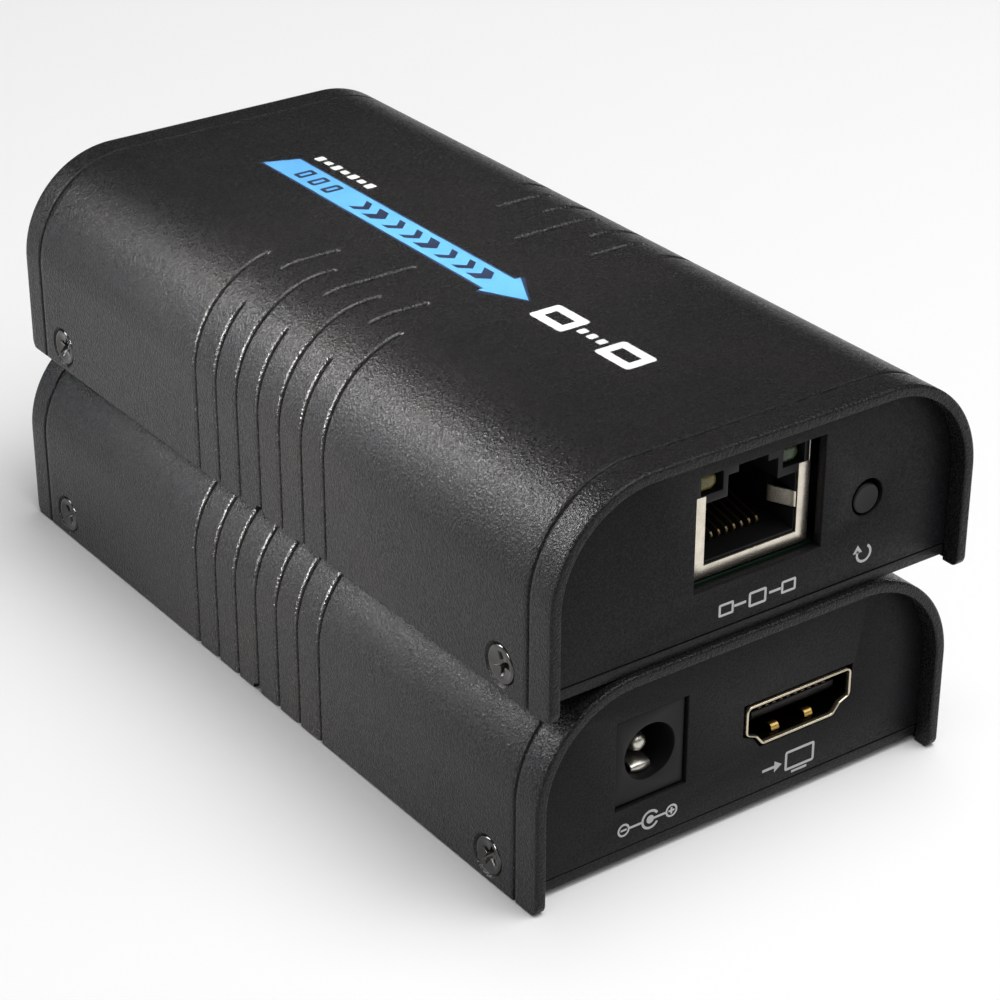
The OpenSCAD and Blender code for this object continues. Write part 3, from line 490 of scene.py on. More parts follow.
def startTree(name, *kinds, **sockets):
    # the kinds of node that the tree uses come back after the tree, its input and its output
    tree = bpy.data.node_groups.new(name, "GeometryNodeTree")
    for way in ("INPUT", "OUTPUT"):
        tree.interface.new_socket("Geometry", in_out=way, socket_type="NodeSocketGeometry")
    for label, kind in {**sockets, "Material": "Material"}.items():
        tree.interface.new_socket(label.replace("_", " "), in_out="INPUT", socket_type="NodeSocket" + kind)
    kinds = ("NodeGroupInput", "NodeGroupOutput", *kinds)
    return tree, *[tree.nodes.new(kind) for kind in kinds]


def linkRows(tree, *rows):
    # each row: node, its output, node, its input
    for source, result, target, given in rows:
        tree.links.new(source.outputs[result], target.inputs[given])


def readVector(tree, name):
    node = tree.nodes.new("GeometryNodeInputNamedAttribute")
    node.data_type = "FLOAT_VECTOR"
    node.inputs["Name"].default_value = name
    return node


def finishTree(tree, last, result, given, output):
    realize, paint = tree.nodes.new("GeometryNodeRealizeInstances"), tree.nodes.new("GeometryNodeSetMaterial")
    linkRows(tree, (last, result, realize, "Geometry"), (realize, "Geometry", paint, "Geometry"),
             (given, "Material", paint, "Material"), (paint, "Geometry", output, "Geometry"))
    return tree


def runTree(piece, tree, **values):
    modifier = piece.modifiers.new(tree.name, "NODES")
    modifier.node_group = tree
    for item in tree.interface.items_tree:
        if item.in_out == "INPUT" and item.name.replace(" ", "_") in values:
            modifier[item.identifier] = values[item.name.replace(" ", "_")]
    return bakeModifiers(piece)


def makeRowTree():
    # a straight row of one item
    tree, given, output, line, item, place = startTree(
        "rowOfItems", "GeometryNodeMeshLine", "GeometryNodeObjectInfo", "GeometryNodeInstanceOnPoints",
        Item="Object", Count="Int", Start="Vector", Step="Vector")
    line.mode = "OFFSET"
    linkRows(tree, (given, "Count", line, "Count"), (given, "Start", line, "Start Location"),
             (given, "Step", line, "Offset"), (given, "Item", item, "Object"),
             (line, "Mesh", place, "Points"), (item, "Geometry", place, "Instance"))
    return finishTree(tree, place, "Instances", given, output)


def makePlacesTree():
    # one item at each point, turned as the point's turn attribute says
    tree, given, output, item, place, rotation = startTree(
        "itemsAtPlaces", "GeometryNodeObjectInfo", "GeometryNodeInstanceOnPoints", "FunctionNodeEulerToRotation",
        Item="Object")
    turn = readVector(tree, "turn")
    linkRows(tree, (turn, "Attribute", rotation, "Euler"), (given, "Geometry", place, "Points"),
             (given, "Item", item, "Object"), (item, "Geometry", place, "Instance"),
             (rotation, "Rotation", place, "Rotation"))
    return finishTree(tree, place, "Instances", given, output)


def makeGrooveTree():
    # presses the outer skin in along the groove lines, which are drawn on the unrolled skin
    tree, given, output, lines, near, slope, slit, total, push, move, keep = startTree(
        "pressedGrooves", "GeometryNodeObjectInfo", "GeometryNodeProximity", "ShaderNodeMapRange",
        "ShaderNodeMapRange", "ShaderNodeMath", "ShaderNodeVectorMath", "GeometryNodeSetPosition",
        "GeometryNodeStoreNamedAttribute", Lines="Object", Depth="Float", Outer_half_width="Float",
        Slit_depth="Float", Slit_half_width="Float", Slit_floor="Float")
    flat, inward = readVector(tree, "flatPlace"), readVector(tree, "inward")
    near.target_element, push.operation = "EDGES", "SCALE"
    keep.data_type, keep.domain = "FLOAT", "POINT"
    keep.inputs["Name"].default_value = "pressed"
    for node, edge, depth in ((slope, "Outer half width", "Depth"), (slit, "Slit half width", "Slit depth")):
        node.inputs["From Max"].default_value = 0
        node.inputs["To Min"].default_value = 0
        linkRows(tree, (near, "Distance", node, "Value"), (given, edge, node, "From Min"),
                 (given, depth, node, "To Max"))
    linkRows(tree, (given, "Lines", lines, "Object"), (lines, "Geometry", near, 0),
             (flat, "Attribute", near, "Sample Position"), (given, "Slit floor", slit, "From Max"),
             (slope, "Result", total, 0), (slit, "Result", total, 1),
             (inward, "Attribute", push, "Vector"), (total, "Value", push, "Scale"),
             (given, "Geometry", move, "Geometry"), (push, "Vector", move, "Offset"),
             (move, "Geometry", keep, "Geometry"), (slope, "Result", keep, "Value"))
    return finishTree(tree, keep, "Geometry", given, output)


rowTree, placesTree, grooveTree = makeRowTree(), makePlacesTree(), makeGrooveTree()


def repeatItem(item, rows):
    # rows of one item: (count, first place, step)
    pieces = []
    for count, start, step in rows:
        row = newObject("row", bpy.data.meshes.new("row"))
        pieces.append(runTree(row, rowTree, Item=item, Count=count, Start=Vector(start) * mm, Step=Vector(step) * mm,
                              Material=finishes["chip_plastic"]))
    bpy.data.objects.remove(item)
    return pieces


# Cover: one closed sheet section swept round the case, then the grooves, screw seats and pry notch
coverSetup = {
    "halfWidth": 28, "height": 24.7, "shoulder": 12.6, "wall": 1.3, "halfLength": 54.2,
    "rimRound": 0.35, "innerRound": 0.2, "lowerCorner": 1.2, "edgeRound": 0.25,
    "bandLine": 50.4, "bandLineDepth": 0.3, "slotFrom": 50.65, "slotTo": 51.95, "slotDepth": 0.5,
    "groovePitch": 4.45, "grooveDepth": 0.26, "grooveOuter": 0.5,
    "slitDepth": 0.4, "slitOuter": 0.24, "slitFloor": 0.11,
    "grooveEnds": (17.78, 11.2, 14.56, 7.0, 14.56, 11.2, 17.78), "breakFrom": 18.62, "breakTo": 21.49,
    "seatRadius": 2.42, "seatFlare": 0.12, "seatDepth": 1.15, "seatHole": 1.3, "screwY": 45.7, "screwZ": 3.1,
    "notchWidth": 1.9, "notchHeight": 0.8, "sharpAngle": 52, "rimAngle": 25}
# where the sheet's mesh has its rows: steps beside a groove, at a groove's end and across a band's line, and the rest
meshSetup = {
    "grooveSteps": (0.57, 0.5, 0.42, 0.33, 0.24, 0.175, 0.11, 0.05),
    "endSteps": (-0.57, -0.5, -0.38, -0.24, -0.17, -0.11, -0.04, 0.04),
    "bandSteps": ((-0.27, 0), (-0.2, 0.15), (-0.16, 0.8), (-0.1, 1), (0.1, 1), (0.16, 0.8), (0.2, 0.15), (0.27, 0)),
    "lengthRows": (18, 24, 30, 36, 42, 47, 49.5, 51, 52, 53), "innerRows": (40, 20),
    "topRows": (2, 4.5, 8.5, 9.8, 12.2, 13.3), "shoulderRows": 34,
    "sideRows": (9, 6, 2.6, 1.6, 1.2, 0.95, 0.6, 0.4), "leastGap": 0.04}


def coverStation(u):
    # point and inward direction on the case's section, u along the skin from the middle of the top
    c = named(coverSetup)
    flat, r = c.halfWidth - c.shoulder, c.shoulder
    side, past = math.copysign(1, u), abs(u) - flat
    if past <= 0:
        return (u, c.height), (0, -1)
    if abs(u) <= flat + r * math.pi / 2:
        sine, cosine = math.sin(past / r), math.cos(past / r)
        return (side * (flat + r * sine), c.height - r + r * cosine), (-side * sine, -cosine)
    return (side * c.halfWidth, c.height - r - (past - r * math.pi / 2)), (-side, 0)


def placeOnSkin(x=None, z=None):
    # distance along the skin of a place given by its x on the top side or its z on the shoulder
    c = named(coverSetup)
    flat, r = c.halfWidth - c.shoulder, c.shoulder
    if x is not None:
        return x if x <= flat else flat + r * math.asin((x - flat) / r)
    return flat + r * math.acos((z - c.height + r) / r)


def coverProfile():
    # closed loop of (y, depth, 1 on the outer skin), counterclockwise from the rear rim
    c, rows = named(coverSetup), named(meshSetup)
    places = [s * y for s in (-1, 1) for y in rows.lengthRows]
    for i in range(-3, 4):
        places += [i * c.groovePitch + s * step for step in rows.grooveSteps for s in (-1, 1)]
        places.append((i + 0.5) * c.groovePitch)
    outer = [(y, 0.0, 1) for y in places]
    outer += [(s * c.bandLine + step, share * c.bandLineDepth, 1) for s in (-1, 1) for step, share in rows.bandSteps]
    outer.sort()
    rim = [(c.halfLength - c.rimRound * (1 - sine), c.rimRound * (1 - cosine), 0) for sine, cosine in quarter(4)]
    rim += [(c.halfLength - c.innerRound * (1 - cosine), c.wall - c.innerRound * (1 - sine), 0)
            for sine, cosine in quarter(3)]
    shallow = c.wall - c.slotDepth
    inner = [(c.slotTo, c.wall), (c.slotTo, shallow), (c.slotFrom, shallow), (c.slotFrom, c.wall)]
    inner += [(y, c.wall) for y in rows.innerRows]
    right = rim + [(y, depth, 0) for y, depth in inner]
    return outer + right + [(-y, depth, skin) for y, depth, skin in reversed(right)]


def coverStations():
    # (u, height above the lower edge, inset) of each ring
    c, rows = named(coverSetup), named(meshSetup)
    flat, arc = c.halfWidth - c.shoulder, c.shoulder * math.pi / 2
    bottom = flat + arc + (c.height - c.shoulder)
    grooveEnds = [placeOnSkin(x=x) for x in sorted(set(c.grooveEnds))] + [placeOnSkin(z=c.breakTo)]
    wanted = [end + step for end in grooveEnds for step in rows.endSteps]
    wanted += [placeOnSkin(x=c.breakFrom) - step for step in rows.endSteps]
    wanted += [*rows.topRows, flat] + [flat + arc * (k + 1) / rows.shoulderRows for k in range(rows.shoulderRows)]
    kept = []
    for u in sorted(wanted):
        if not kept or u - kept[-1] > rows.leastGap:
            kept.append(u)
    rings = [(u, c.edgeRound + 1, 0) for u in kept] + [(bottom - z, z, 0) for z in rows.sideRows]
    for sine, cosine in quarter(4):
        z = c.edgeRound * (1 - sine)
        rings.append((bottom - z, z, c.edgeRound * (1 - cosine)))
    return [(-u, z, inset) for u, z, inset in reversed(rings)] + rings


def makeCover():
    c = named(coverSetup)
    profile, rings = coverProfile(), coverStations()
    lower, length = c.lowerCorner, c.halfLength
    bend = length - 1.5 * lower
    points, flatPlaces, inwards = [], [], []
    for u, z, inset in rings:
        (px, pz), (nx, nz) = coverStation(u)
        below = min(pz, lower)
        reach = length - lower + math.sqrt(max(0, lower ** 2 - (lower - below) ** 2))
        for y, depth, skin in profile:
            depth += inset if depth < c.wall / 2 else -inset
            across = y
            if abs(y) > bend:
                across = math.copysign(bend + (abs(y) - bend) * (reach - bend) / (length - bend), y)
            points.append((px + nx * depth, across, pz + nz * depth))
            flatPlaces += [u * mm, y * mm, 0]
            inwards += [nx * mm * skin, 0, nz * mm * skin]
    count, total = len(profile), len(points)
    rims = [tuple(range(count)), tuple(reversed(range(total - count, total)))]
    cover = meshObject("coverSheet", points, ringFaces(count, len(rings), flip=True) + rims)
    for label, values in (("flatPlace", flatPlaces), ("inward", inwards)):
        cover.data.attributes.new(label, "FLOAT_VECTOR", "POINT").data.foreach_set("vector", values)
    return cover


def grooveLines():
    c = named(coverSetup)
    bottom = c.halfWidth + c.height + 2
    points, edges = [], []
    for i, end in enumerate(c.grooveEnds):
        y = (i - 3) * c.groovePitch
        spans = [(placeOnSkin(x=end), bottom)]
        if i % 2:
            spans = [(placeOnSkin(x=end), placeOnSkin(x=c.breakFrom)), (placeOnSkin(z=c.breakTo), bottom)]
        for s, (start, stop) in ((s, span) for s in (-1, 1) for span in spans):
            edges.append((len(points), len(points) + 1))
            points += [(s * start * mm, y * mm, 0), (s * stop * mm, y * mm, 0)]
    mesh = bpy.data.meshes.new("grooveLines")
    mesh.from_pydata(points, edges, [])
    return newObject("grooveLines", mesh)


def cutCoverOpenings(cover):
    c = named(coverSetup)
    flare = c.seatRadius + c.seatFlare
    rows = [(0, 1), (flare, 1), (flare, 0.0), (c.seatRadius, -c.seatFlare), (c.seatHole, -c.seatDepth),
            (c.seatHole, -3), (0, -3)]
    tools = []
    for sx, sy in ((sx, sy) for sx in (-1, 1) for sy in (-1, 1)):
        seat = lathe("seat", rows, 64)
        place = Matrix.Translation(Vector((sx * c.halfWidth, sy * c.screwY, c.screwZ)) * mm)
        seat.data.transform(place @ Matrix.Rotation(math.radians(90 * sx), 4, "Y"))
        tools.append(seat)
    w, h = c.notchWidth / 2, c.notchHeight
    arch = [(-w, -1)] + [(-w + w * (1 - cosine) * 0.5, h - h / 2 + h / 2 * sine) for sine, cosine in quarter(4)]
    arch += [(-y, z) for y, z in reversed(arch)]
    tools.append(outlineSolid("notch", [[(x, y, z) for y, z in arch] for x in (-40, 40)]))
    combine(cover, joinPieces("coverCutter", tools))


def sharpenSeats(mesh):
    # the seats' rims stay crisp, while the pressed grooves stay soft
    c = named(coverSetup)
    place = np.empty(len(mesh.vertices) * 3)
    mesh.vertices.foreach_get("co", place)
    x, y, z = np.abs(place.reshape(-1, 3) / mm).T
    onSeat = np.hypot(y - c.screwY, z - c.screwZ) < c.seatRadius + 0.2
    onNotch = (y < c.notchWidth) & (z < c.notchHeight + 0.05)
    special = (onSeat | onNotch) & (x > 24)
    work = bmesh.new()
    work.from_mesh(mesh)
    work.verts.ensure_lookup_table()
    for edge in work.edges:
        if len(edge.link_faces) == 2 and special[edge.verts[0].index] and special[edge.verts[1].index]:
            edge.smooth = edge.calc_face_angle(0) < math.radians(c.rimAngle)
    work.to_mesh(mesh)
    work.free()


def addCovers():
    c = named(coverSetup)
    lines, cover = grooveLines(), makeCover()
    runTree(cover, grooveTree, Lines=lines, Depth=c.grooveDepth, Outer_half_width=c.grooveOuter * mm,
            Slit_depth=c.slitDepth, Slit_half_width=c.slitOuter * mm, Slit_floor=c.slitFloor * mm,
            Material=finishes["case_coating"])
    bpy.data.objects.remove(lines)
    for label in ("flatPlace", "inward"):
        cover.data.attributes.remove(cover.data.attributes[label])
    cutCoverOpenings(cover)
    smoothShade(cover, c.sharpAngle)
    sharpenSeats(cover.data)
    dress(cover, "CoverSheet", "case_coating", ["cover"])


addCovers()
print("covers done")


# Sheet and moulded pieces that keep the part's own shape, with their edges softened

def softCopy(unit, suffix, node, width, slotName, segments=2, reshape=None):
    work = bmesh.new()
    work.from_mesh(frame["nodes"][f"{unit}_{node}"].data)
    bmesh.ops.remove_doubles(work, verts=work.verts, dist=1e-6)
    bmesh.ops.dissolve_limit(work, angle_limit=math.radians(1.5), verts=work.verts, edges=work.edges)
    mesh = bpy.data.meshes.new(unit + suffix)
    work.to_mesh(mesh)
    work.free()
    piece = bevelEdges(newObject(unit + suffix, mesh), width, segments, 40)
    if reshape:
        reshape(piece, unit)
    tidyMesh(piece, 50, False)
    return settle(piece, unit, slotName, [node])


# a housing's front, past its limit, comes forward; the wedge slopes the lower edge of a tongue's tip
reshapeSetup = {"limit": 50.6, "forward": 0.5, "wedgeWidth": (-15.2, -2.2),
                "wedge": ((51.2, 10.2), (51.2, 11.35), (50.88, 11.3), (50.2, 10.4), (50.2, 10.2))}


def bringForward(piece, unit):
    s = named(reshapeSetup)
    inverse = unitFrames[unit].inverted()
    for vertex in piece.data.vertices:
        place = inverse @ vertex.co / mm
        if place.y > s.limit:
            vertex.co = unitFrames[unit] @ (Vector((place.x, place.y + s.forward, place.z)) * mm)


def thinTongue(piece, unit):
    s = named(reshapeSetup)
    cutter = outlineSolid("wedge", [[(x, y, z) for y, z in s.wedge] for x in s.wedgeWidth])
    cutter.data.transform(unitFrames[unit])
    combine(piece, cutter, solver="EXACT")


for unit, networkEnd, displayEnd in (("transmitter", "rear", "front"), ("receiver", "front", "rear")):
    softCopy(unit, "BaseTray", "base", 0.15, "base_coating")
    softCopy(unit, "NetworkPanel", networkEnd + "_panel", 0.1, "panel_coating")
    softCopy(unit, "DisplayPanel", displayEnd + "_panel", 0.1, "panel_coating")
    softCopy(unit, "PowerHousing", "power_housing", 0.25, "socket_plastic", 3, bringForward)
    softCopy(unit, "DisplayTongue", "display_tongue", 0.1, "socket_plastic", 2, thinTongue)
    softCopy(unit, "ResetSwitch", "reset_switch", 0.15, "switch_plastic")
print("soft copies done")

# Screws: one cross-head screw for the sides and one for the board, set at each place with its own turn
screwSetup = {"headRadius": 2.2, "headDepth": 1.1, "shank": 1.25, "length": 4.6, "cross": (1.5, 0.8, 1.1),
              "dish": ((-1.4, -0.31), (-0.9, -0.22), (-0.5, -0.09), (-0.36, -0.05), (-0.22, -0.05), (-0.1, -0.1),
                       (-0.02, -0.2), (0, -0.32)), "turns": (12, -33, 27, 58),
              "boardHead": 2.3, "boardHeadHeight": 1.6, "boardLength": 5.04, "boardCross": (1.3, 0.5, 0.9),
              "boardX": 19, "boardY": 25.5, "boardTop": 7.44}


def makeScrew(rows, cross, top):
    # the cross is two arms that narrow with depth
    screw = lathe("screw", rows, 40)
    reach, width, depth = cross
    for turn in (0, 90):
        rings = []
        for z, share, narrow in ((top + 0.3, 1.0, 1.0), (top, 1.0, 1.0), (top - depth, 0.25, 0.55)):
            r, w = reach * share, width / 2 * narrow
            rings.append([(a, b, z) for a, b in rectangle(-r, -w, r, w)])
        arm = outlineSolid("arm", rings)
        arm.data.transform(Matrix.Rotation(math.radians(turn), 4, "Z"))
        combine(screw, arm)
    return soften(screw, 0.05, 45)


def setScrews(item, places, turns, suffix, node):
    mesh = bpy.data.meshes.new(suffix)
    mesh.from_pydata([tuple(Vector(place) * mm) for place in places], [], [])
    values = [value for turn in turns for value in turn]
    mesh.attributes.new("turn", "FLOAT_VECTOR", "POINT").data.foreach_set("vector", values)
    draft = runTree(newObject(suffix, mesh), placesTree, Item=item, Material=finishes["screw_plating"])
    bpy.data.objects.remove(item)
    dress(tidyMesh(draft, 50, False), suffix, "screw_plating", [node])


def addScrews():
    s, c = named(screwSetup), named(coverSetup)
    corners = [(sx, sy) for sx in (-1, 1) for sy in (-1, 1)]
    r = s.headRadius
    rows = [(0, -0.34)] + [(r + inset, z) for inset, z in s.dish]
    rows += [(s.shank, -s.headDepth), (s.shank, -s.length + 0.2), (s.shank - 0.25, -s.length), (0, -s.length)]
    places = [(sx * c.halfWidth, sy * c.screwY, c.screwZ) for sx, sy in corners]
    turns = [(Matrix.Rotation(math.radians(90 * sx), 3, "Y") @ Matrix.Rotation(math.radians(turn), 3, "Z")).to_euler()
             for (sx, sy), turn in zip(corners, s.turns)]
    setScrews(makeScrew(rows, s.cross, -0.02), places, turns, "SideScrews", "side_screws")
    b, top = s.boardHead, s.boardHeadHeight
    rows = [(0, top)] + [(b * sine, top - 0.7 * (1 - cosine)) for sine, cosine in quarter(6, 1)]
    rows += [(b, 0.06), (b - 0.06, 0), (s.shank, 0), (s.shank, -s.boardLength), (0, -s.boardLength)]
    places = [(sx * s.boardX, sy * s.boardY, s.boardTop) for sx, sy in corners]
    turns = [(0, 0, math.radians(turn)) for turn in s.turns]
    setScrews(makeScrew(rows, s.boardCross, top), places, turns, "BoardScrews", "board_screws")


addScrews()
print("screws done")

# Network socket: sheet shield, moulded body, spring wires and two light lenses
networkSetup = {
    "x": 0.45, "face": -50.2, "low": 7.74, "high": 20.34, "halfWidth": 8, "length": 21.2, "sheet": 0.3,
    "bend": 0.55, "openHalf": 6, "openLow": 9.49, "openHigh": 16.29, "openDepth": 13.6,
    "latchHalf": 3.3, "latchHigh": 18.69, "latchTopHalf": 1.95, "latchTop": 19.69, "topStrip": 0.72, "sideStrip": 0.5,
    "windowX": 5.4, "windowHalf": 1.45, "windowLow": 17.29, "windowHigh": 19.49, "windowDepth": 8, "lensShift": 0.15,
    "fingerLow": 11.94, "fingerHigh": 13.84, "fingerLength": 4.6, "fingerWay": 0.75, "fingerThick": 0.22,
    "fingerPath": ((0.45, 0.16), (0.1, 0.4), (-0.2, 1.0), (-1.15, 2.9), (-1.25, 3.3)),
    "wires": 8, "wirePitch": 1.02, "wireWidth": 0.34, "wireThick": 0.26,
    "wirePath": ((3.75, -0.05), (3.4, 0.2), (3.25, 0.5), (3.4, 0.8), (3.9, 0.95), (7.6, 1.9), (10.6, 2.95),
                 (13.5, 3.04)),
    "lensRings": ((0.02, 0.4), (0.45, 0.42), (0.7, 0.48), (0.86, 0.6), (0.96, 0.82), (1, 1.1), (1, 7.9))}


def mirrored(half):
    # an outline from its right side, begun at its lower left corner
    return [(-half[0][0], half[0][1])] + half + [(-a, z) for a, z in reversed(half[1:])]


def makeShield():
    n = named(networkSetup)
    x, face, t, half = n.x, n.face, n.sheet, n.halfWidth
    back, middle = face + n.length, face + n.length / 2
    shield = block("shield", (x - half, x + half), (face, back), (n.low - 1.5, n.high), n.bend, 4)
    combine(shield, block("inner", (x - half + t, x + half - t), (face + t, back - t), (n.low - 3, n.high - t),
                          n.bend - t + 0.05, 3))
    combine(shield, block("below", (x - 20, x + 20), (face - 5, back + 5), (n.low - 5, n.low)))
    o, wide, latch = n.openHalf + t / 2, half - n.sideStrip, n.latchTopHalf
    top, step = n.high - n.topStrip, n.windowLow - 0.1
    outline = mirrored([(o, n.openLow - t), (o, step), (wide, step), (wide, top), (latch, top), (latch, n.high + 1)])
    combine(shield, prism("opening", [(x + a, z) for a, z in outline], face - 1, face + 0.7))
    parts = [soften(shield, 0.07, 55)]
    for s in (-1, 1):
        path = smoothPath([(n.openHalf + 1.0, face + 0.14)] + [(o + a, face + b) for a, b in n.fingerPath])
        parts.append(bentStrip("finger", [(x + s * a, b) for a, b in path], n.fingerHigh - n.fingerLow, n.fingerThick,
                               lambda across, p, q: (p, q, (n.fingerLow + n.fingerHigh) / 2 + across)))
        parts.append(block("foot", around(x + s * (half - t / 2), t), around(middle, 1.2), (n.low - 0.3, n.low + 0.2)))
    return joinPieces("shield", parts)


def makeNetworkBody():
    n = named(networkSetup)
    x, face, gap = n.x, n.face, n.sheet + 0.05
    half, back, top = n.halfWidth - gap, face + n.length - gap, n.high - gap
    body = prism("body", rectangle(x - half, n.low - 0.3, x + half, top), face + gap, back)
    nose = rectangle(x - half + 0.2, n.openHigh, x + half - 0.2, top - 0.06)
    combine(body, prism("nose", nose, face + 0.05, face + gap + 0.5), "UNION")
    stair = mirrored([(n.openHalf, n.openLow), (n.openHalf, n.openHigh), (n.latchHalf, n.openHigh),
                      (n.latchHalf, n.latchHigh), (n.latchTopHalf, n.latchHigh), (n.latchTopHalf, n.latchTop)])
    combine(body, prism("opening", [(x + a, z) for a, z in stair], face - 1, face + n.openDepth))
    for s in (-1, 1):
        middle, side = x + s * n.windowX, x + s * n.openHalf
        window = rectangle(middle - n.windowHalf, n.windowLow, middle + n.windowHalf, n.windowHigh)
        combine(body, prism("window", filletLoop(window, [0.15] * 4, 3), face - 1, face + n.windowDepth))
        low, high = sorted((side, side + s * n.fingerWay))
        combine(body, block("fingerWay", (low - 0.01, high), (face - 1, face + n.fingerLength + 0.1),
                            (n.fingerLow - 0.1, n.fingerHigh + 0.1)))
    return soften(body, 0.07)


def makeLens(side):
    # domed light pipe: a rounded outline drawn in towards its front
    n = named(networkSetup)
    cx, cz = n.x + side * n.windowX - n.lensShift, (n.windowLow + n.windowHigh) / 2
    w, h = n.windowHalf - 0.2, (n.windowHigh - n.windowLow) / 2 - 0.12
    loop = filletLoop(rectangle(-w, -h, w, h), [0.3, 0.92, 0.92, 0.3], 6)
    return outlineSolid("lens", [[(cx + a * share, n.face + depth, cz + b * share) for a, b in loop]
                                 for share, depth in n.lensRings])


def addNetworkSockets():
    n = named(networkSetup)
    dress(makeShield(), "NetworkShield", "shield_plating", ["network_shield"])
    dress(makeNetworkBody(), "NetworkBody", "socket_plastic", ["network_housing"])
    dress(makeLens(-1), "AmberLens", "amber_window", ["amber_light"])
    dress(makeLens(1), "GreenLens", "green_window", ["green_light"])
    wire = bentStrip("wire", smoothPath(n.wirePath), n.wireWidth, n.wireThick,
                     lambda across, p, q: (across, n.face + p, n.openLow + q))
    first = n.x - (n.wires - 1) / 2 * n.wirePitch
    wires = joinPieces("wires", repeatItem(wire, [(n.wires, (first, 0, 0), (n.wirePitch, 0, 0))]))
    dress(tidyMesh(wires, 45, False), "SpringWires", "contact_gold", ["network_wires"])


addNetworkSockets()
print("network sockets done")

# Display socket: drawn shell with plug springs, and its contacts
displaySetup = {
    "x": -8.7, "face": 52.1, "low": 8.19, "halfWidth": 7.4, "height": 5.4, "length": 11.4,
    "corners": ((0.68, 0), (0.81, 0.23), (1, 0.34), (1, 1)), "radii": (0.7, 0.6, 0.7, 0.75), "leastRadius": 0.12,
    "mouth": ((0, 0.14), (-0.03, 0.05), (-0.1, 0.0), (-0.2, 0.0), (-0.27, 0.05), (-0.3, 0.14)),
    "springShare": 0.16, "springWidth": 1.1, "springThick": 0.16, "floor": 0.4, "legLow": 6.15,
    "springPath": ((1.1, 0.05), (1.13, 0.25), (1.25, 0.5), (1.55, 0.66), (2.2, 0.56), (3.9, 0.06), (4.6, -0.02)),
    "contactPitch": 1.0, "contactWidth": 0.45, "contactThick": 0.12, "boardTop": 7.44,
    "contactBend": ((-0.2, 0), (-0.06, -0.15)), "contactFoot": ((-0.06, 0.12), (0.02, 0), (0.54, 0)),
    "contacts": ((10, 12.024, 13.6, 1.34), (9, 10.404, 12.5, 2.0))}


def displayLoop(grow):
    # the shell's outline; a grow below zero draws it in by as much
    d = named(displaySetup)
    half, high = d.halfWidth + grow, d.height + 2 * grow
    right = [(a * half, b * high - grow) for a, b in d.corners]
    radii = [max(d.leastRadius, r + grow) for r in d.radii]
    return filletLoop(right + [(-a, b) for a, b in reversed(right)], radii + radii[::-1])


def makeDisplayShell():
    # rings of the sheet: outside, round the mouth's edge, then inside
    d = named(displaySetup)
    rows = [(d.mouth[0][0], d.length), *d.mouth, (d.mouth[-1][0], d.length)]
    rings = [[(d.x - a, d.face - depth, d.low + b) for a, b in displayLoop(grow)] for grow, depth in rows]
    faces = ringFaces(len(rings[0]), len(rings), wrap=True)
    parts, springs = [tidyMesh(meshObject("shell", [p for ring in rings for p in ring], faces), 40)], []
    for s in (-1, 1):
        x = d.x + s * d.springShare * 2 * d.halfWidth
        springs.append(bentStrip("spring", smoothPath(d.springPath), d.springWidth, d.springThick,
                                 lambda across, p, q: (x + across, d.face - p, d.low + d.floor + q)))
        parts.append(block("leg", around(d.x + s * (d.halfWidth - 0.2), 0.4), around(d.face - d.length / 2, 1.2),
                           (d.legLow, d.low + 3.3), 0.08))
    return joinPieces("shell", parts), joinPieces("springs", springs)


def makeContacts():
    # each row of contacts: how many, its level, how far back it turns down, where its tips begin
    d = named(displaySetup)
    pieces, end, pitch = [], d.boardTop + d.contactThick / 2, d.contactPitch
    for count, level, tail, tip in d.contacts:
        path = [(tip, level), (tail - 0.3, level)] + smoothPath([(tail + a, level + b) for a, b in d.contactBend], 3)
        path += [(tail + a, end + b) for a, b in d.contactFoot]
        item = bentStrip("contact", path, d.contactWidth, d.contactThick,
                         lambda across, p, q: (across, d.face - p, q))
        pieces += repeatItem(item, [(count, (d.x - (count - 1) / 2 * pitch, 0, 0), (pitch, 0, 0))])
    return tidyMesh(joinPieces("contacts", pieces), 45, False)


shell, springs = makeDisplayShell()
dress(shell, "DisplayShell", "shell_gold", ["display_shell"])
dress(springs, "DisplaySprings", "shell_gold", [], springGold)
dress(makeContacts(), "DisplayContacts", "contact_gold", ["display_contacts"])
print("display sockets done")

# Power socket's pin and spring, and the reset button
powerSetup = {
    "x": 11.4, "face": 51.0, "axis": 12.84, "boardTop": 7.44, "pinRadius": 1.05, "pinBack": 0.95,
    "pinTip": ((0, 0), (0.35, 0.04), (0.62, 0.16), (0.82, 0.36), (0.95, 0.65), (1, 1)),
    "barrel": ((1.05, 9.0), (1.65, 9.0), (1.7, 9.05), (1.7, 9.6), (0.8, 9.6), (0.8, 14.7), (0, 14.7)),
    "lugWidth": 2.4, "lugFrom": 14.22, "lugTo": 14.7, "lugTop": 1.15,
    "springWidth": 2.6, "springThick": 0.22, "springLow": -2.93, "springCurl": -0.25,
    "leaf": ((0.95, -0.2), (0.82, 0), (0.82, 0.3), (1.0, 0.62), (1.6, 0.85), (3, 0.9), (5, 0.6), (7.6, 0.12),
             (8.5, 0.1)),
    "leafEnd": ((8.9, 0.05), (8.97, -0.15))}
buttonSetup = {"x": 14.9, "axis": 11.19, "radius": 1.75, "face": -51.75, "back": -47.7, "edge": 0.22, "dish": 0.07}


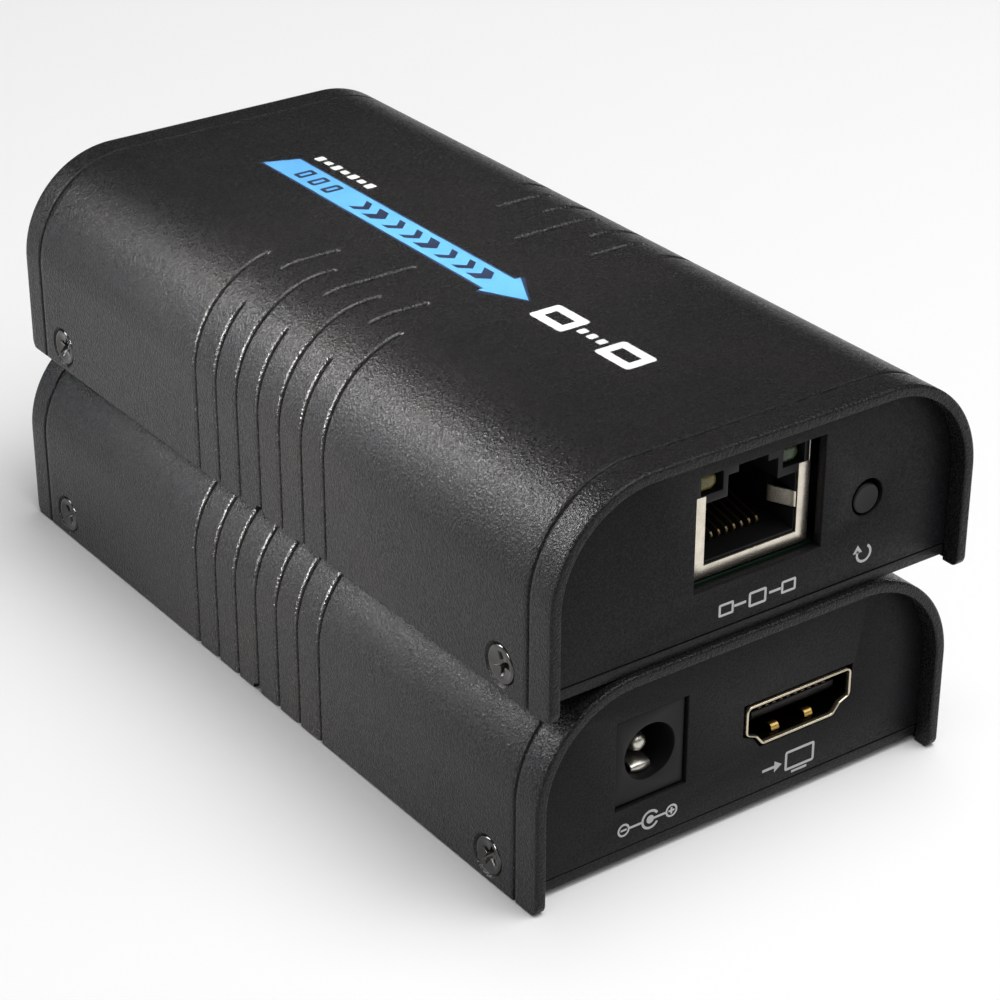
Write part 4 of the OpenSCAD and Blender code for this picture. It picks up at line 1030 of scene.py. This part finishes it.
def makePin():
    p = named(powerSetup)
    rows = [(p.pinRadius * share, p.pinBack + depth) for share, depth in p.pinTip] + list(p.barrel)
    pin = lathe("pin", [(radius, p.face - depth) for radius, depth in rows], 40, "Y", (p.x, 0, p.axis))
    lug = block("lug", around(p.x, p.lugWidth), (p.face - p.lugTo, p.face - p.lugFrom),
                (p.boardTop, p.axis + p.lugTop), 0.08)
    return joinPieces("pin", [pin, lug])


def makeLeaf():
    p = named(powerSetup)
    path = smoothPath([(a, p.springLow + b) for a, b in p.leaf]) + [(a, p.springLow + b) for a, b in p.leafEnd]
    path.append((p.leafEnd[-1][0], p.boardTop - p.axis))
    return bentStrip("leaf", path, p.springWidth, p.springThick,
                     lambda across, d, q: (p.x + across, p.face - d, p.axis + q), p.springCurl)


def makeButton():
    b = named(buttonSetup)
    r, e = b.radius, b.edge
    rows = [(0, b.dish), (r * 0.5, b.dish * 0.75), (r - e - 0.15, b.dish * 0.25), (r - e, 0)]
    rows += [(r - e + e * sine, e * (1 - cosine)) for sine, cosine in quarter(4, 1)]
    rows += [(r, b.back - b.face), (0, b.back - b.face)]
    return lathe("button", [(radius, b.face + depth) for radius, depth in rows], 56, "Y", (b.x, 0, b.axis))


dress(makePin(), "PowerPin", "pin_plating", ["power_pin"])
dress(makeLeaf(), "PowerLeaf", "pin_plating", ["power_spring"])
dress(makeButton(), "ResetButton", "button_plastic", ["reset_button"], None, "_button")
print("power sockets and buttons done")

# Parts on the board: bodies, with their legs and fins repeated by the row tree. Sizes are across, along, high.
boardSetup = {
    "top": 7.44, "leg": 0.7, "legThick": 0.25, "reach": 1.1, "chip": (-2, 18, 1.5), "chipLegs": 16,
    "sink": (22, 7, 1.6), "fins": 8, "finThick": 0.9, "line": (0.2, 15.5, 12.4, 5.8), "lineLegs": 8,
    "can": (3.15, 7.7), "canTop": ((0.45, 0), (0.15, 0.1), (0, 0.4)),
    "canFoot": ((0, 1.9), (0.22, 1.65), (0, 1.4), (0, 0.1)), "coil": (7.2, 4.2), "lidShare": 0.4,
    "regulator": (6.5, 3.6, 1.7), "regulatorLegs": 3}


def addChip(b, foot):
    x, side, high = b.chip
    y, top = nodeBox("main_chip")[2].y, b.top
    step, first, sides = (side - 2 * b.leg) / (b.chipLegs - 1), b.leg - side / 2, (-1, 1)
    parts = [block("body", around(x, side), around(y, side), (top + b.legThick, top + high), 0.15)]
    leg = block("leg", (-b.reach, b.reach), around(0, b.legThick), foot, 0.05, 1)
    parts += repeatItem(leg, [(b.chipLegs, (x + s * side / 2, y + first, 0), (0, step, 0)) for s in sides])
    leg = block("leg", around(0, b.legThick), (-b.reach, b.reach), foot, 0.05, 1)
    parts += repeatItem(leg, [(b.chipLegs, (x + first, y + s * side / 2, 0), (step, 0, 0)) for s in sides])
    dress(joinPieces("chip", parts), "MainChip", "chip_plastic", ["main_chip"])
    base = top + high
    side, tall, plate = b.sink
    parts = [block("plate", around(x, side), around(y, side), (base, base + plate), 0.2)]
    fin = block("fin", (0, b.finThick), around(y, side), (base + plate - 0.2, base + tall), 0.2)
    parts += repeatItem(fin, [(b.fins, (x - side / 2, 0, 0), ((side - b.finThick) / (b.fins - 1), 0, 0))])
    dress(joinPieces("sink", parts), "HeatSink", "sink_anodised", ["heat_sink"])


def addTransformer(b, foot):
    x, wide, long, high = b.line
    y = nodeBox("line_transformer")[2].y
    step = (wide - 2 * b.leg) / (b.lineLegs - 1)
    body = block("body", around(x, wide), around(y, long), (b.top + b.legThick, b.top + high), 0.4, 3)
    leg = block("leg", (0, b.leg), (-b.reach / 2, b.reach / 2 + 0.2), foot, 0.06, 1)
    first = x - wide / 2 + b.leg / 2
    rows = [(b.lineLegs, (first, y + s * (long / 2 + b.reach / 2) - 0.1, 0), (step, 0, 0)) for s in (-1, 1)]
    piece = joinPieces("transformer", [body] + repeatItem(leg, rows))
    dress(piece, "LineTransformer", "chip_plastic", ["line_transformer"])


def addCapacitors(b):
    low, high, middle = nodeBox("capacitors")
    r, tall = b.can
    rows = [(0, tall)] + [(r - inset, tall - drop) for inset, drop in b.canTop]
    rows += [(r - inset, z) for inset, z in b.canFoot] + [(0, 0.1)]
    can = lathe("can", rows, 40)
    can.data.transform(Matrix.Translation(Vector((low.x + r, middle.y, b.top)) * mm))
    foot = block("foot", (low.x, low.x + 2 * r), (middle.y - r, middle.y + r), (b.top, b.top + tall / 6), 0.3)
    cans = repeatItem(joinPieces("can", [can, foot]), [(2, (0, 0, 0), (high.x - low.x - 2 * r, 0, 0))])
    dress(joinPieces("cans", cans), "Capacitors", "can_aluminium", ["capacitors"])


def addCoil(b):
    middle = nodeBox("power_coil")[2]
    side, tall = b.coil
    r, top = side * b.lidShare, b.top + tall
    body = block("body", around(middle.x, side), around(middle.y, side), (b.top, b.top + tall * 0.75), 0.6, 3)
    rows = [(0, top), (r - 0.3, top), (r, top - 0.25), (r, b.top + 0.4), (0, b.top + 0.4)]
    lid = lathe("lid", rows, 40, "Z", (middle.x, middle.y, 0))
    dress(joinPieces("coil", [body, lid]), "PowerCoil", "coil_ferrite", ["power_coil"])


def addRegulator(b):
    low, high, middle = nodeBox("regulator")
    wide, long, tall = b.regulator
    x, y, top, thin = middle.x, middle.y, b.top, b.legThick
    parts = [block("body", around(x, wide), around(y, long), (top + thin, top + tall), 0.15),
             block("tab", around(x, wide / 2), (y, high.y), (top, top + thin + 0.05), 0.06, 1)]
    leg = block("leg", around(0, b.leg), (low.y, y), (top, top + thin + 0.05), 0.06, 1)
    parts += repeatItem(leg, [(b.regulatorLegs, (x - wide / 3, 0, 0), (wide / 3, 0, 0))])
    dress(joinPieces("regulator", parts), "Regulator", "chip_plastic", ["regulator"])


def addBoardParts():
    b = named(boardSetup)
    foot = (b.top, b.top + b.legThick)
    addChip(b, foot)
    addTransformer(b, foot)
    addCapacitors(b)
    addCoil(b)
    addRegulator(b)
    for unit in units:
        softCopy(unit, "Crystal", "crystal", 0.5, "can_steel", 3)
        softCopy(unit, "Board", "board", 0.12, "board_laminate")


addBoardParts()
print("board parts done")

# Printed marks: thin filled shapes, none of them letters
markSetup = {"thick": 0.012, "layer": 0.02, "lift": 0.004, "panelFace": 51.9, "arrowX": -1.9, "arrowHalf": 2.1,
             "tail": 35.8, "neck": -9.3, "tip": -14.7, "headHalf": 2.9, "outline": 0.32, "tailSlant": 1.6}


def ringMark(cx, cy, radius, width, start=0, sweep=360, segments=28):
    # a closed ring as outer and inner loop, or an open arc as one loop
    angles = [math.radians(start + sweep * k / segments) for k in range(segments + (sweep < 360))]
    outer, inner = [[(cx + r * math.cos(a), cy + r * math.sin(a)) for a in angles] for r in (radius, radius - width)]
    return [outer, inner] if sweep == 360 else [outer + inner[::-1]]


def boxMark(cx, cy, w, h, width=0, radius=0.2):
    # filled, or an outline of the given width
    insets = [(0, radius), (width, max(radius - width, 0.03))] if width else [(0, radius)]
    loops = []
    for inset, corner in insets:
        outline = rectangle(cx - w / 2 + inset, cy - h / 2 + inset, cx + w / 2 - inset, cy + h / 2 - inset)
        loops.append(filletLoop(outline, [corner] * 4, 3))
    return loops


def lineMark(x0, y0, x1, y1, width):
    along = Vector((x1 - x0, y1 - y0)).normalized() * (width / 2)
    n = Vector((-along.y, along.x))
    a, b = Vector((x0, y0)), Vector((x1, y1))
    return [[tuple(a + n), tuple(b + n), tuple(b - n), tuple(a - n)]]


def fillLoops(loops, place):
    curve = bpy.data.curves.new("mark", "CURVE")
    curve.dimensions, curve.fill_mode, curve.extrude = "2D", "BOTH", markSetup["thick"] / 2
    for loop in loops:
        spline = curve.splines.new("POLY")
        spline.points.add(len(loop) - 1)
        spline.points.foreach_set("co", [v for a, b in loop for v in (a, b, 0, 1)])
        spline.use_cyclic_u = True
    piece = newObject("mark", curve)
    mesh = bpy.data.meshes.new_from_object(piece.evaluated_get(bpy.context.evaluated_depsgraph_get()))
    bpy.data.objects.remove(piece)
    mesh.transform(place)
    mesh.transform(Matrix.Scale(mm, 4))
    return tidyMesh(newObject("mark", mesh), 30)


def addMark(suffix, ink, groups, place):
    # each group of loops is filled by itself; place maps a mark's (a, b) plane and its height to the unit's frame
    dress(joinPieces("mark", [fillLoops(loops, place) for loops in groups]), suffix, None, [], inks[ink])


def topPlace(layer):
    m = named(markSetup)
    return Matrix.Translation((0, 0, coverSetup["height"] + m.thick / 2 + layer * m.layer + m.lift))


def endPlace(side):
    # the network end is seen along +Y, the display end along -Y
    face = side * (markSetup["panelFace"] + markSetup["thick"] / 2 + markSetup["lift"])
    return Matrix(((-side, 0, 0, 0), (0, 0, side, face), (0, 1, 0, 0), (0, 0, 0, 1)))


def arrowLoop(grow):
    m = named(markSetup)
    x, half, head, neck = m.arrowX, m.arrowHalf + grow, m.headHalf + grow * 1.6, m.neck - grow * 0.4
    return [(x - half, m.tail + grow + m.tailSlant / 2), (x - half, neck), (x - head, neck), (x, m.tip - grow * 1.5),
            (x + head, neck), (x + half, neck), (x + half, m.tail + grow - m.tailSlant / 2)]


def chevron(y, half, length, width):
    x = markSetup["arrowX"]
    return [(x - half, y), (x, y - length), (x + half, y), (x + half, y + width), (x, y + width - length),
            (x - half, y + width)]


def addTopMarks():
    # the arrow with its chevrons and slots, two screens with dots between them, and a row of dashes
    m = named(markSetup)
    x = m.arrowX
    dark = [[chevron(-6.6 + 3.5 * k, 1.3, 1.2, 1.2 if k % 3 else 1.9)] for k in range(8)]
    dark += [boxMark(x, 24.6 + 2.9 * k, 2.6, 1.6, 0.5, 0.3) for k in range(3)]
    white = [boxMark(x, y, 4.2, 5.8, 1.25, 0.5) for y in (-20.4, -31.9)]
    white += [boxMark(x, -24.5 - 1.65 * k, 1.2, 1.0) for k in range(3)]
    white += [boxMark(2.3, 22.8 + 1.8 * k, 0.9 if k % 2 else 1.3, 1.15, 0, 0.15) for k in range(7)]
    addMark("TopRim", "navy", [[arrowLoop(m.outline)]], topPlace(0))
    addMark("TopArrow", "blue", [[arrowLoop(0)]], topPlace(1))
    addMark("TopPattern", "navy", dark, topPlace(2))
    addMark("TopScreens", "white", white, topPlace(0))


def networkMarks():
    # three linked boxes below the socket and a turning arrow below the button
    marks = [boxMark(0.3, 4.3, 2.4, 1.8, 0.3, 0.25)]
    for s in (-1, 1):
        marks += [boxMark(0.3 + s * 4.2, 4.3, 2.0, 1.5, 0.28), lineMark(0.3 + s * 1.55, 4.3, 0.3 + s * 3.15, 4.3, 0.3)]
    return marks + [ringMark(14.9, 4.75, 1.1, 0.3, 150, 270), [[(13.35, 5.0), (14.65, 5.0), (14.0, 5.95)]]]


def displayMarks():
    # a screen with an arrow to it below the shell, a plug's polarity below the power socket, as seen from the left
    marks = [boxMark(9.3, 4.55, 4.2, 2.5, 0.32, 0.3), [[(5.7, 5.2), (6.75, 4.5), (5.7, 3.8)]]]
    marks += [ringMark(-11.4, 4.5, 1.2, 0.3, 30, 300), ringMark(-11.4, 4.5, 0.5, 0.5)[:1]]
    marks += [ringMark(x, 4.5, 0.8, 0.24) for x in (-14.95, -8.55)]
    lines = [(8.2, 2.95, 10.4, 2.95, 0.3), (4.0, 4.5, 5.7, 4.5, 0.34), (-10.9, 4.5, -9.35, 4.5, 0.28),
             (-14.15, 4.5, -12.6, 4.5, 0.28), (-15.35, 4.5, -14.55, 4.5, 0.24), (-8.95, 4.5, -8.15, 4.5, 0.24),
             (-8.55, 4.62, -8.55, 4.9, 0.24), (-8.55, 4.1, -8.55, 4.38, 0.24)]
    return marks + [lineMark(*line) for line in lines]


addTopMarks()
addMark("NetworkMarks", "grey", networkMarks(), endPlace(-1))
addMark("DisplayMarks", "grey", displayMarks(), endPlace(1))
print("marks done")

# Floor and light. Each light: name, place, target, size, power, spread, colour.
stageSetup = {"floor": (0.9, 0.9, 0.9), "reach": 6000, "world": 0.09}
lights = [
    ("overhead", (0.2, -0.3, 1.45), (0, 0, 0), (1.1, 1.1), 23, 180, (1, 1, 1)),
    ("shoulderKey", (-0.135, 0.125, 0.165), (-0.027, -0.035, 0.035), (0.09, 0.09), 0.08, 55, (1, 0.99, 0.98)),
    ("grooveGlint", (-0.248, -0.033, 0.135), (-0.028, -0.002, 0.035), (0.05, 0.16), 0.11, 26, (1, 0.99, 0.97)),
    ("lowGlint", (-0.235, 0.215, 0.085), (-0.028, -0.01, 0.015), (0.08, 0.06), 0.018, 50, (0.86, 0.93, 1)),
    ("rightFill", (0.45, -0.55, 0.6), (0, 0, 0.02), (0.4, 0.4), 1, 180, (1, 1, 1)),
    ("frontFill", (-0.35, -1.1, 1.1), (0, 0, 0), (0.8, 0.6), 3, 180, (1, 1, 1)),
]


def addFloor():
    m = startMaterial("paleFloor", stageSetup["floor"], 0, 0.9)
    feed(m, Roughness=remap(m, addNoise(m, 40), 0.3, 0.7, 0.86, 0.94))
    far = stageSetup["reach"]
    floor = meshObject("floor", [(a, b, 0) for a, b in rectangle(-far, -far, far, far)], [(0, 1, 2, 3)])
    floor.data.materials.append(m.material)
    return floor


def addLight(name, place, target, size, power, spread, color, notFloor):
    # the narrow lights only reach the object, so that they don't brighten the floor beside it
    data = bpy.data.lights.new(name, "AREA")
    data.shape, data.size, data.size_y = "RECTANGLE", *size
    data.energy, data.color, data.spread = power, color, math.radians(spread)
    light = newObject(name, data)
    light.location = place
    light.rotation_mode = "QUATERNION"
    light.rotation_quaternion = (Vector(target) - Vector(place)).to_track_quat("-Z", "Y")
    if spread < 180:
        light.light_linking.receiver_collection = notFloor


notFloor = bpy.data.collections.new("notFloor")
notFloor.objects.link(addFloor())
notFloor.collection_objects[0].light_linking.link_state = "EXCLUDE"
for row in lights:
    addLight(*row, notFloor)
scene.view_settings.view_transform = "Standard"
world = bpy.data.worlds.new("softWorld")
world.use_nodes = True
background = world.node_tree.nodes["Background"]
background.inputs["Color"].default_value = (1, 1, 1, 1)
background.inputs["Strength"].default_value = stageSetup["world"]
scene.world = world
print("stage and lights done")
